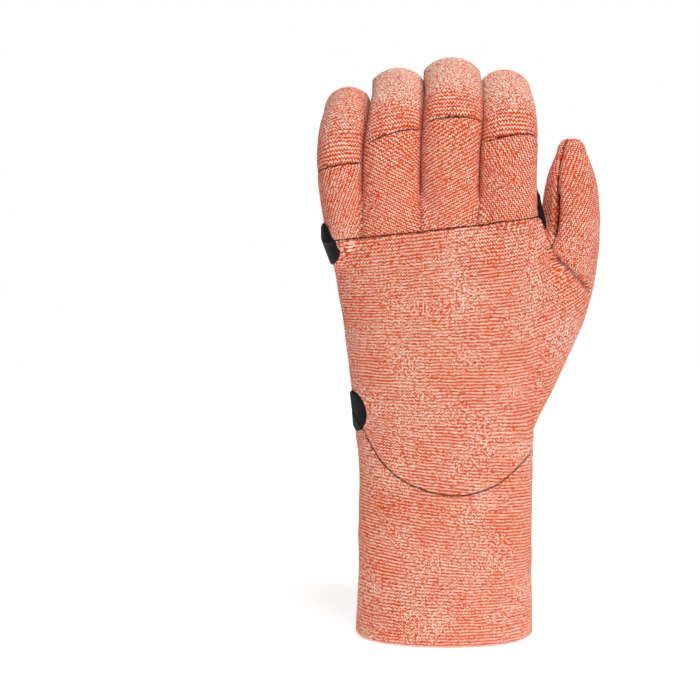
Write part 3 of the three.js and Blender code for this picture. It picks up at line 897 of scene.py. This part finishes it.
def arc_table():
    rows = []
    for at in ARC_AT:
        ring = hand_point(np.full(len(ARC_ANGLE), at), np.radians(ARC_ANGLE))[:, :2]
        step = np.linalg.norm(np.diff(ring, axis=0), axis=1)
        rows.append(np.concatenate([[0], np.cumsum(step)]))
    return np.array(rows)


ARC = arc_table()


def arc_length(at, angle):
    """The way round the hand's section from its thumb side to an angle."""
    angle = np.asarray(angle, float)
    row = np.clip(at, 0, 2.1) / ARC_AT[1]
    i = np.clip(row.astype(int), 0, len(ARC_AT) - 2)
    t = row - i
    j = np.clip(angle.astype(int), 0, 359)
    s = angle - j
    low = ARC[i, j] * (1 - s) + ARC[i, j + 1] * s
    high = ARC[i + 1, j] * (1 - s) + ARC[i + 1, j + 1] * s
    return low * (1 - t) + high * t


def turned(w, c, slope):
    """Coordinates whose courses climb by slope degrees."""
    a = math.radians(slope)
    return np.stack([w * math.cos(a) + c * math.sin(a), c * math.cos(a) - w * math.sin(a)], 1)


def hand_knit(palm):
    """Along the courses from the middle of the palm or the back, and up across them."""
    x, y, z = points.T
    at, angle = hand_place(points)
    full = arc_length(at, 360)
    length = arc_length(at, angle) - arc_length(at, 90 if palm else 270)
    length = np.where(length > full / 2, length - full, length)
    length = np.where(length < -full / 2, length + full, length)
    if palm:
        c = z + 0.09 * x * ease(z, 110, 160)
        # Over the ball of the thumb the stitches are spaced along x.
        level = -12.2 - 1.08 * (x - 12)
        return np.stack([length + (level - length) * ease(x, 8, 20) * (z < 212), c], 1)
    # Towards the thumb the courses run on round the swelling at its base.
    centre, _, _ = thumb_place(points)
    ahead = x - centre[:, 0]
    before = centre[:, 1] - y
    ahead = np.where(before < 0, np.maximum(ahead, 0.5), ahead)
    round_thumb = np.hypot(ahead, before) * np.arctan2(ahead, before)
    level = 37.5 + 1.15 * (centre[:, 0] - 35) + round_thumb
    swelling = ease(z, 108, 130) * (1 - ease(z, 178, 192))
    length = length + (level - length) * ease(x, 30, 42) * swelling
    # The courses climb towards the thumb at the knuckles and dip towards it on the cuff.
    climb = math.tan(math.radians(COURSE_SLOPE_TOP)) * ease(z, 130, 200)
    dip = 0.1 * ease(z, 10, 50) * (1 - ease(z, 95, 118))
    out = np.clip(x - 30, 0, 60)
    rise = 0.42 * out ** 2 / 64 * ease(z, 105, 150)
    wider = 0.1 * np.clip(z - 190, 0, 30)
    return np.stack([length, z - wider - climb * x + dip * x - rise], 1)


def finger_knit(i, slope):
    along, front, across = finger_place(i, points)
    c = FINGER_CURVES[i]
    radius = FINGER_WIDTH / 2
    dome = along - c["length"]
    bent = c["length"] + radius * np.arctan2(np.maximum(dome, 0), np.maximum(np.abs(front), 0.5))
    # Over the dome the courses follow its crown on to the palm side.
    bent = np.where(front > 0, 2 * c["length"] + radius * math.pi - bent, bent)
    climb = np.where(dome > 0, bent, along)
    wide = np.interp(along / c["length"], c["share"], c["wide"])
    deep = np.interp(along / c["length"], c["share"], c["deep"])
    girth = (wide + deep) / 2 * np.arctan2(across / wide, np.abs(front) / deep)
    crown = radius * np.arcsin(np.clip(across / (1.08 * wide), -1, 1))
    w = girth + (crown - girth) * ease(dome, -5, 3)
    return turned(w, climb, slope)


def thumb_knit(slope):
    centre, turn, wide = thumb_place(points)
    dx = points[:, 0] - centre[:, 0]
    dy = points[:, 1] - centre[:, 1]
    out = np.cos(turn) * dx + np.sin(turn) * dy
    across = np.abs(np.cos(turn) * dy - np.sin(turn) * dx)
    w = wide * np.arctan2(out, across)
    return turned(w, points[:, 2] * 1.04, slope)


TIGHT = 1.06  # how much finer the courses are on the fingers' backs and the thumb
THUMB_SLOPE = 55  # of the thumb's courses, in degrees
# Where the thumb's knit begins: on the back as x and z, on the palm as z and x
THUMB_EDGE = [(49.0, 200), (55, 190), (63, 184), (72, 179), (84, 172)]
PALM_EDGE = [(112.0, 36), (140, 31), (158, 32), (169, 35), (177, 39), (188, 45), (200, 49)]


def on_thumb(middle, palm):
    """Triangles whose knit is the thumb's, beyond the folds at its base."""
    x, _, z = middle.T
    back = (z > np.interp(x, *np.transpose(THUMB_EDGE))) & (x > 46)
    front = (x > np.interp(z, *np.transpose(PALM_EDGE))) & (z > 118)
    return np.where(palm, front, back) & ((z < 196) | is_thumb(middle))


def knit_coordinates():
    middle = points[faces].mean(1)
    palm = label == PANELS.index("palm_panel")
    uv = hand_knit(False)[faces]
    uv[palm] = hand_knit(True)[faces][palm]
    finger = finger_of(middle)
    high = (middle[:, 2] > 214) & ~is_thumb(middle)
    for i, row in enumerate(FINGERS):
        mine = label == FIRST_BACK + i
        uv[mine] = TIGHT * finger_knit(i, row["back"])[faces[mine]]
        mine = label == FIRST_TIP + i
        uv[mine] = finger_knit(i, row["tip"])[faces[mine]]
        mine = palm & high & (finger == i)
        uv[mine] = finger_knit(i, 0)[faces[mine]]
    thumb = on_thumb(middle, palm)
    uv[thumb] = TIGHT * thumb_knit(THUMB_SLOPE)[faces[thumb]]
    return uv


def speckle_share():
    """How far the courses break up into specks: most at the fingertips' round ends."""
    hand = 1 - 0.8 * ease(points[:, 2], 204, 214)
    out = (0.4 + 0.22 * ripple(points, 30, 11)) * hand
    which = finger_of(points)
    for i, row in enumerate(FINGERS):
        along = finger_place(i, points)[0]
        beyond = (along - row["seam"] * FINGER_CURVES[i]["length"]) / 16
        mine = (which == i) & (points[:, 2] > 212) & ~thumb_side & (side_level < 1)
        grown = (0.55 if row["name"] == "little" else 1.0) * ease(beyond, 0.2, 1.2)
        out = np.where(mine, np.maximum(out, grown), out)
    return np.clip(out, 0, 1)


uv = knit_coordinates()
speckle = speckle_share()


# Materials

def shade(red, green, blue):
    """An sRGB colour as the linear one that the shader takes."""
    value = np.array([red, green, blue]) / 255
    linear = np.where(value <= 0.04045, value / 12.92, ((value + 0.055) / 1.055) ** 2.4)
    return (*linear.tolist(), 1.0)


class Nodes:
    """Adds nodes to a material or world, each with its inputs given by name or number."""

    def __init__(self, owner):
        self.owner = owner
        self.owner.use_nodes = True
        self.tree = self.owner.node_tree
        self.tree.nodes.clear()

    def add(self, kind, inputs=(), **settings):
        node = self.tree.nodes.new(kind)
        for key, value in settings.items():
            setattr(node, key, value)
        for key, value in dict(inputs).items():
            if isinstance(value, bpy.types.NodeSocket):
                self.tree.links.new(value, node.inputs[key])
            else:
                node.inputs[key].default_value = value
        return node

    def math(self, operation, a, b):
        return self.add("ShaderNodeMath", {0: a, 1: b}, operation=operation).outputs[0]

    def plus(self, a, b):
        return self.math("ADD", a, b)

    def times(self, a, b):
        return self.math("MULTIPLY", a, b)

    def over(self, a, b):
        return self.math("DIVIDE", a, b)

    def less(self, a, b):
        return self.math("SUBTRACT", a, b)

    def ramp(self, value, low, high):
        inputs = {0: value, 1: low, 2: high}
        return self.add("ShaderNodeMapRange", inputs, interpolation_type="SMOOTHSTEP").outputs[0]

    def mix(self, share, a, b):
        return self.add("ShaderNodeMix", {0: share, 6: a, 7: b}, data_type="RGBA").outputs[2]

    def noise(self, vector, scale, detail=2.0, rough=0.5):
        inputs = {"Vector": vector, "Scale": scale, "Detail": detail, "Roughness": rough}
        return self.add("ShaderNodeTexNoise", inputs).outputs["Fac"]

    def scaled(self, vector, factor):
        inputs = {0: vector, 3: factor}
        return self.add("ShaderNodeVectorMath", inputs, operation="SCALE").outputs[0]

    def object_place(self):
        """The surface's place on the object, in millimetres."""
        return self.scaled(self.add("ShaderNodeTexCoord").outputs["Object"], 1 / MM)

    def attribute(self, name):
        return self.add("ShaderNodeAttribute", attribute_name=name).outputs["Fac"]

    def finish(self, inputs, height, distance, strength):
        bump = self.add("ShaderNodeBump", {"Height": height, "Distance": distance,
                                           "Strength": strength})
        shader = self.add("ShaderNodeBsdfPrincipled", {**inputs, "Normal": bump.outputs[0]})
        self.add("ShaderNodeOutputMaterial", {0: shader.outputs[0]})
        return self.owner


COURSE = 1.58  # from one pale course to the next
WALE = 1.45  # a stitch along its course
ZIGZAG = 0.8  # height of the courses' teeth
UV_SCALE = 0.01  # UV units to a millimetre
ORANGE = shade(240, 90, 26)
RED = shade(224, 66, 22)
CREAM = shade(255, 243, 224)
PINK = shade(248, 208, 180)
# Painted shadow in the gaps between stitches
STITCH_SHADOW = shade(112, 40, 30)
# Painted shade in the folds, creases and opened seam
PAINTED_SHADE = shade(118, 40, 26)
STITCHED = shade(52, 22, 16)


def knit_material():
    """Pale and warm courses that zigzag along the UV map, frayed and broken up into specks."""
    n = Nodes(bpy.data.materials.new("two_tone_knit"))
    place = n.add("ShaderNodeUVMap", uv_map="knit").outputs[0]
    flat = n.scaled(place, 1 / UV_SCALE)
    parts = n.add("ShaderNodeSeparateXYZ", {0: flat})
    w, c = parts.outputs[0], parts.outputs[1]
    seam = n.attribute("seam")
    specks = n.attribute("speckle")
    painted_shade_share = n.attribute("painted_shade")

    # Each course wanders a little, and zigzags from stitch to stitch.
    wander = n.noise(flat, 0.13, 2)
    jitter = n.noise(flat, 0.8, 1)
    c = n.plus(c, n.times(n.less(wander, 0.5), 1.5))
    c = n.plus(c, n.times(n.less(jitter, 0.5), 0.5))
    step = n.math("PINGPONG", n.over(w, WALE / 2), 1.0)
    c = n.plus(c, n.times(step, ZIGZAG))
    half = n.over(c, COURSE / 2)
    phase = n.math("PINGPONG", half, 1.0)

    # The two yarns swap here and there, a stitch at a time.
    stitch = n.add("ShaderNodeCombineXYZ", {
        0: n.math("FLOOR", n.over(w, WALE), 0.0),
        1: n.math("FLOOR", n.plus(half, 0.5), 0.0),
    }).outputs[0]
    cell = n.add("ShaderNodeTexWhiteNoise", {"Vector": stitch}, noise_dimensions="2D").outputs["Value"]
    soft = n.add("ShaderNodeCombineXYZ", {0: n.over(w, 0.85), 1: n.over(c, 0.66)}).outputs[0]
    grain = n.noise(soft, 1.0, 1.5, 0.6)
    patchy = n.ramp(n.noise(flat, 0.055, 2), 0.45, 0.68)
    broken = n.plus(n.times(specks, 0.85), n.times(patchy, 0.4))
    stripe = n.times(n.less(phase, 0.5), n.less(1.0, n.times(broken, 0.7)))
    swap = n.times(n.less(cell, 0.5), n.plus(0.16, n.times(broken, 0.28)))
    fray = n.times(n.less(grain, 0.5), n.plus(1.35, n.times(broken, 3.0)))
    pale = n.plus(n.plus(stripe, n.plus(swap, fray)), n.times(specks, 0.2))
    share = n.ramp(pale, 0.18, 0.24)

    fleck = n.noise(flat, 1.6, 1)
    warm = n.mix(n.ramp(fleck, 0.42, 0.62), ORANGE, RED)
    cool = n.mix(n.ramp(fleck, 0.46, 0.68), CREAM, PINK)
    colour = n.mix(share, warm, cool)
    # Painted shadow: dark specks in the gaps between the warm stitches, where shade falls.
    stitch_gap_shadow = n.times(n.ramp(n.noise(soft, 1.9, 1), 0.6, 0.74), n.less(1.0, share))
    colour = n.mix(n.times(stitch_gap_shadow, 0.75), colour, STITCH_SHADOW)
    # Painted shade darkens the knit in its folds, between the fingers and in the opened seam.
    colour = n.mix(n.times(painted_shade_share, 0.62), colour, PAINTED_SHADE)
    # The needle's line along a seam is broken by the knit's fluff.
    ragged = n.plus(seam, n.times(n.less(n.noise(flat, 0.7, 2), 0.5), 1.3))
    line = n.less(1.0, n.ramp(ragged, 0.12, 0.62))
    colour = n.mix(n.times(line, 0.9), colour, STITCHED)

    height = n.plus(n.times(share, 0.6), n.times(phase, 0.5))
    height = n.plus(height, n.times(n.noise(flat, 2.2, 2), 0.45))
    return n.finish(
        {"Base Color": colour, "Roughness": 0.95, "Specular IOR Level": 0.1,
         "Sheen Weight": 0.1, "Sheen Roughness": 0.45, "Sheen Tint": shade(255, 222, 200)},
        height, 0.00035, 0.7,
    )


def black_material(name, colour, rough, grain, strength, gloss):
    """Dark rubber or tape with a fine grain, broad lighter patches and a few specks of dust."""
    n = Nodes(bpy.data.materials.new(name))
    flat = n.object_place()
    fine = n.noise(flat, grain, 3, 0.6)
    broad = n.noise(flat, 0.09, 3)
    dust = n.ramp(n.noise(flat, 1.4, 1), 0.74, 0.8)
    tone = n.mix(broad, colour, tuple(v * 1.7 for v in colour[:3]) + (1.0,))
    tone = n.mix(n.times(n.ramp(fine, 0.5, 0.8), 0.2), tone, shade(48, 44, 46))
    tone = n.mix(n.times(dust, 0.07), tone, shade(150, 140, 140))
    roughness = n.plus(rough - 0.08, n.times(fine, 0.16))
    return n.finish(
        {"Base Color": tone, "Roughness": roughness, "Specular IOR Level": gloss * 0.6},
        fine, 0.0002, strength,
    )


def thread_material(name, colour, light):
    n = Nodes(bpy.data.materials.new(name))
    twist = n.noise(n.object_place(), 3.0, 2)
    inputs = {"Base Color": n.mix(twist, colour, light), "Roughness": 0.8, "Specular IOR Level": 0.15}
    return n.finish(inputs, twist, 0.0001, 0.5)


KNIT = knit_material()
BLACK = black_material("black_neoprene", shade(26, 23, 26), 0.66, 1.1, 0.35, 0.3)
TAPE = black_material("patch_tape", shade(20, 17, 18), 0.6, 2.4, 0.5, 0.2)
FOAM = black_material("foam_core", shade(24, 23, 24), 0.9, 1.6, 0.9, 0.2)
THREAD = thread_material("dark_thread", shade(34, 16, 12), shade(86, 42, 30))
WHITE_THREAD = thread_material("white_thread", shade(226, 222, 214), shade(255, 252, 246))


# Pieces

def piece(name, points, faces, materials, smooth=True):
    mesh = mesh_of(name, points * MM, faces)
    if smooth:
        mesh.shade_smooth()
    for material in materials:
        mesh.materials.append(material)
    return placed(name, mesh)


def free_edges(faces):
    """Directed edges that only one triangle has."""
    pairs = sides_of(faces)
    key = np.sort(pairs, axis=1)
    _, first, count = np.unique(key, axis=0, return_index=True, return_counts=True)
    return pairs[first[count == 1]]


def doubled(faces, count):
    """The face of a piece, its far side count points on, and the edge that closes them."""
    a, b = free_edges(faces).T
    edge = np.concatenate([np.stack([b, a, a + count], 1), np.stack([b, a + count, b + count], 1)])
    return faces, faces[:, ::-1] + count, edge


def panel(number):
    """A panel as a closed piece: its face, its lining and the cut edge between them."""
    name = PANELS[number]
    mine = np.nonzero(label == number)[0]
    used, local = compact(faces[mine])
    count = len(used)
    body = np.concatenate([outer[used], inner[used]])
    sheets = doubled(local, count)
    materials = [BLACK if name == "wrist_panel" else KNIT, KNIT, FOAM]
    obj = piece(f"{name}_skin", body, np.concatenate(sheets), materials)
    mesh = obj.data
    slots = np.repeat([0, 1, 2], [len(sheet) for sheet in sheets])
    mesh.polygons.foreach_set("material_index", slots)
    layer = mesh.uv_layers.new(name="knit")
    own = uv[mine]
    table = np.concatenate([own, own[:, ::-1], np.zeros((len(sheets[2]), 3, 2))]) * UV_SCALE
    layer.data.foreach_set("uv", table.ravel())
    # The last attribute carries the painted shade of the folds, creases and opened seam.
    for key, values, back in (("seam", seam_distance + touch, 9.0), ("speckle", speckle, 0.3),
                              ("painted_shade", painted_shade, 0.0)):
        attribute = mesh.attributes.new(key, "FLOAT", "POINT")
        attribute.data.foreach_set("value", np.concatenate([values[used], np.full(count, back)]))
    mesh.update()
    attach(obj, "root")
    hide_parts(name)


for number in range(len(PANELS)):
    panel(number)


PATCH_BEVEL = 1.2
PATCH_EDGE = 0.25  # how far its rim stands out
PATCH_LIFT = 0.1  # between the skin and the patch's underside
RIDGE = 0.55
RIDGE_WIDTH = 0.8


def patch(name, centre, facing):
    """A round patch glued over a seam, whose ridge shows through it."""
    facing = unit(np.array(facing, float))
    centre = np.array(centre, float)

    def ring_field(p):
        off = p - centre
        deep = off @ facing
        radial = np.linalg.norm(off - deep[:, None] * facing, axis=1)
        return np.where(np.abs(deep) < 14, radial - PATCH_RADIUS, FAR)

    near = np.linalg.norm(points[faces].mean(1) - centre, axis=1) < PATCH_RADIUS * 1.9
    facing_out = (normal[faces].mean(1) @ facing) > 0.05
    used, local = compact(faces[near & facing_out])
    spots, local = split(points[used], local, ring_field)
    used, local = compact(local[ring_field(spots[local].mean(1)) < 0])
    spots = spots[used]
    pick = np.array([skin_tree.find(p)[1] for p in spots])
    away = normal[pick]
    off = spots - centre
    radial = np.linalg.norm(off - (off @ facing)[:, None] * facing, axis=1)
    edge = np.clip((PATCH_RADIUS - radial) / PATCH_BEVEL, 0, 1)
    rise = PATCH_EDGE + PATCH_RISE * np.sqrt(1 - (1 - edge) ** 2)
    rise += RIDGE * np.exp(-(seam_distance[pick] / RIDGE_WIDTH) ** 2) * edge
    body = np.concatenate([spots + away * rise[:, None], spots + away * PATCH_LIFT])
    obj = piece(f"{name}_tape", body, np.concatenate(doubled(local, len(spots))), [TAPE])
    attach(obj, "root")
    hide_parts(name)


skin_tree = tree_of(points)
for name, centre, facing in PATCHES:
    patch(name, centre, facing)


# Stitches along the seams

BURIED = 0.22  # share of the stitches that the knit's fluff hides
TILT = (-12, 42)  # degrees off the seam
SMOOTH_OVER = 5  # points of a seam that are averaged


def under_patch(spot):
    return any(np.linalg.norm(spot - np.array(centre)) < PATCH_RADIUS * 1.05 for _, centre, _ in PATCHES)


def stitch_mesh(spot, along, up, length, radius):
    """One stitch: a short rounded bead of thread."""
    across = np.cross(along, up)
    rows = []
    for share, wide in ((-1, 0.35), (-0.7, 0.85), (0, 1.0), (0.7, 0.85), (1, 0.35)):
        ring = []
        for angle in np.linspace(0, 2 * math.pi, 6, endpoint=False):
            ring.append(spot + along * share * length / 2
                        + (across * math.cos(angle) + up * math.sin(angle)) * radius * wide)
        rows.append(np.array(ring))
    return loft(rows)


def resampled(line, pitch):
    step = np.linalg.norm(np.diff(line, axis=0), axis=1)
    total = np.concatenate([[0], np.cumsum(step)])
    count = max(int(total[-1] / pitch), 1)
    at = (np.arange(count) + 0.5) * total[-1] / count
    return np.stack([np.interp(at, total, line[:, k]) for k in range(3)], 1)


def sew():
    """Short slanted stitches along every seam, except under patches and between fingers."""
    rng = np.random.default_rng(4)
    parts = []
    for chain in chains(sewn):
        line = outer[chain]
        if len(line) > 2 * SMOOTH_OVER - 1:
            kernel = np.ones(SMOOTH_OVER) / SMOOTH_OVER
            middle = np.stack([np.convolve(line[:, k], kernel, "valid") for k in range(3)], 1)
            line = np.concatenate([line[:2], middle, line[-2:]])
        spots = resampled(line, STITCH_PITCH)
        source = tree_of(outer[chain])
        for k in range(len(spots)):
            at = chain[source.find(spots[k])[1]]
            if under_patch(spots[k]) or touch[at] > 0.3:
                continue
            along = spots[min(k + 1, len(spots) - 1)] - spots[max(k - 1, 0)]
            length = np.linalg.norm(along)
            if length < 1e-6:
                continue
            along = along / length
            up = unit(normal[at] - along * (normal[at] @ along))
            if rng.random() < BURIED:
                continue
            tilt = math.radians(rng.uniform(*TILT))
            way = along * math.cos(tilt) + np.cross(up, along) * math.sin(tilt)
            size = rng.uniform(0.8, 1.15)
            lift = rng.uniform(-0.05, 0.14)
            parts.append(stitch_mesh(spots[k] + up * lift, way, up, STITCH_LENGTH * size,
                                     STITCH_RADIUS * size))
    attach(piece("seam_thread", *join(parts), [THREAD]), "root")


sew()


def tack(name, at_angle, heights):
    """A few white stitches that secure the black panel's seam at the rim."""
    rng = np.random.default_rng(7)
    parts = []
    for k, z in enumerate(heights):
        angle = at_angle + rng.uniform(-1.6, 1.6)
        spot, beside = hand_point(np.full(2, z / CUFF_LENGTH), np.radians([angle, angle + 2]))
        along = unit(beside - spot)
        up = np.cross(along, [0, 0, 1.0])
        up *= np.sign(up @ spot)
        tilt = 0.7 * (k % 3 - 1)
        along = along * math.cos(tilt) + np.array([0, 0, 1.0]) * math.sin(tilt)
        parts.append(stitch_mesh(spot + up * 0.3, along, up, rng.uniform(1.6, 2.8), 0.17))
    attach(piece(name, *join(parts), [WHITE_THREAD]), "root")


tack("tack_thumb_side", 26.5, (1.6, 2.2, 3.0, 3.8, 4.6, 2.7))
tack("tack_little_side", 127.2, (1.4, 2.1, 2.9, 3.7, 4.4, 5.2, 2.5, 3.2))


# The stage: floor, lights and camera

FLOOR_SIDES = 96
FLOOR_RADIUS = 1500  # in millimetres, as all pieces are
FLOOR_DROP = 0.0006
AIM = (0, 0, 0.15)
# Lights: name, place, size, power
LIGHTS = (
    ("key", (0.85, -1.1, 0.8), 0.8, 7.2),
    ("top", (0.15, -0.35, 1.4), 0.6, 8.5),
    ("fill", (-0.9, -1.0, 0.5), 0.8, 0.8),
    ("back", (0.3, 1.1, 0.9), 0.8, 6),
)
WORLD_LIGHT = 0.22
CAMERA_LENS = 94.6
CAMERA_RISE = 7.5  # degrees above level
CAMERA_DISTANCE = 0.92
CAMERA_TARGET = (-0.048, 0.0, 0.145)


def floor():
    """A pale disc that fades out towards its edge."""
    n = Nodes(bpy.data.materials.new("floor"))
    place = n.add("ShaderNodeTexCoord").outputs["Object"]
    far = n.add("ShaderNodeVectorMath", {0: place}, operation="LENGTH").outputs["Value"]
    clear = n.ramp(far, 0.35, 1.1)
    shader = n.add("ShaderNodeBsdfPrincipled", {
        "Base Color": (0.85, 0.85, 0.85, 1), "Roughness": 0.9, "Specular IOR Level": 0.1,
        "Emission Color": (1, 1, 1, 1), "Emission Strength": 0.55,
    })
    air = n.add("ShaderNodeBsdfTransparent")
    mixed = n.add("ShaderNodeMixShader", {0: clear, 1: shader.outputs[0], 2: air.outputs[0]})
    n.add("ShaderNodeOutputMaterial", {0: mixed.outputs[0]})
    angle = np.linspace(0, 2 * math.pi, FLOOR_SIDES, endpoint=False)
    ring = np.stack([np.cos(angle), np.sin(angle), np.zeros_like(angle)], 1) * FLOOR_RADIUS
    corners = np.concatenate([ring, [[0, 0, 0]]])
    k = np.arange(FLOOR_SIDES)
    hub = np.full(FLOOR_SIDES, FLOOR_SIDES)
    disc = piece("floor", corners, np.stack([k, (k + 1) % FLOOR_SIDES, hub], 1), [n.owner], False)
    disc.location.z = -FLOOR_DROP


def light(name, place, size, power):
    lamp = bpy.data.lights.new(name, "AREA")
    lamp.shape = "DISK"
    lamp.size = size
    lamp.energy = power
    obj = placed(name, lamp)
    obj.location = place
    obj.rotation_euler = (Vector(AIM) - Vector(place)).to_track_quat("-Z", "Y").to_euler()


def world():
    """A backdrop that is white, and gives less light than it shows."""
    n = Nodes(bpy.data.worlds.new("studio"))
    white = (1, 1, 1, 1)
    felt = n.add("ShaderNodeBackground", {0: white, 1: WORLD_LIGHT}).outputs[0]
    seen = n.add("ShaderNodeBackground", {0: white, 1: 1.0}).outputs[0]
    shows = n.add("ShaderNodeLightPath").outputs["Is Camera Ray"]
    mixed = n.add("ShaderNodeMixShader", {0: shows, 1: felt, 2: seen})
    n.add("ShaderNodeOutputWorld", {0: mixed.outputs[0]})
    bpy.context.scene.world = n.owner
    bpy.context.scene.view_settings.view_transform = "Standard"


def camera():
    lens = bpy.data.cameras.new("camera")
    lens.lens = CAMERA_LENS
    lens.sensor_width = 36
    obj = placed("camera", lens)
    rise = math.radians(CAMERA_RISE)
    back = Vector((0, -math.cos(rise), math.sin(rise)))
    obj.location = Vector(CAMERA_TARGET) + back * CAMERA_DISTANCE
    obj.rotation_euler = (-back).to_track_quat("-Z", "Y").to_euler()
    bpy.context.scene.camera = obj


floor()
for row in LIGHTS:
    light(*row)
world()
camera()
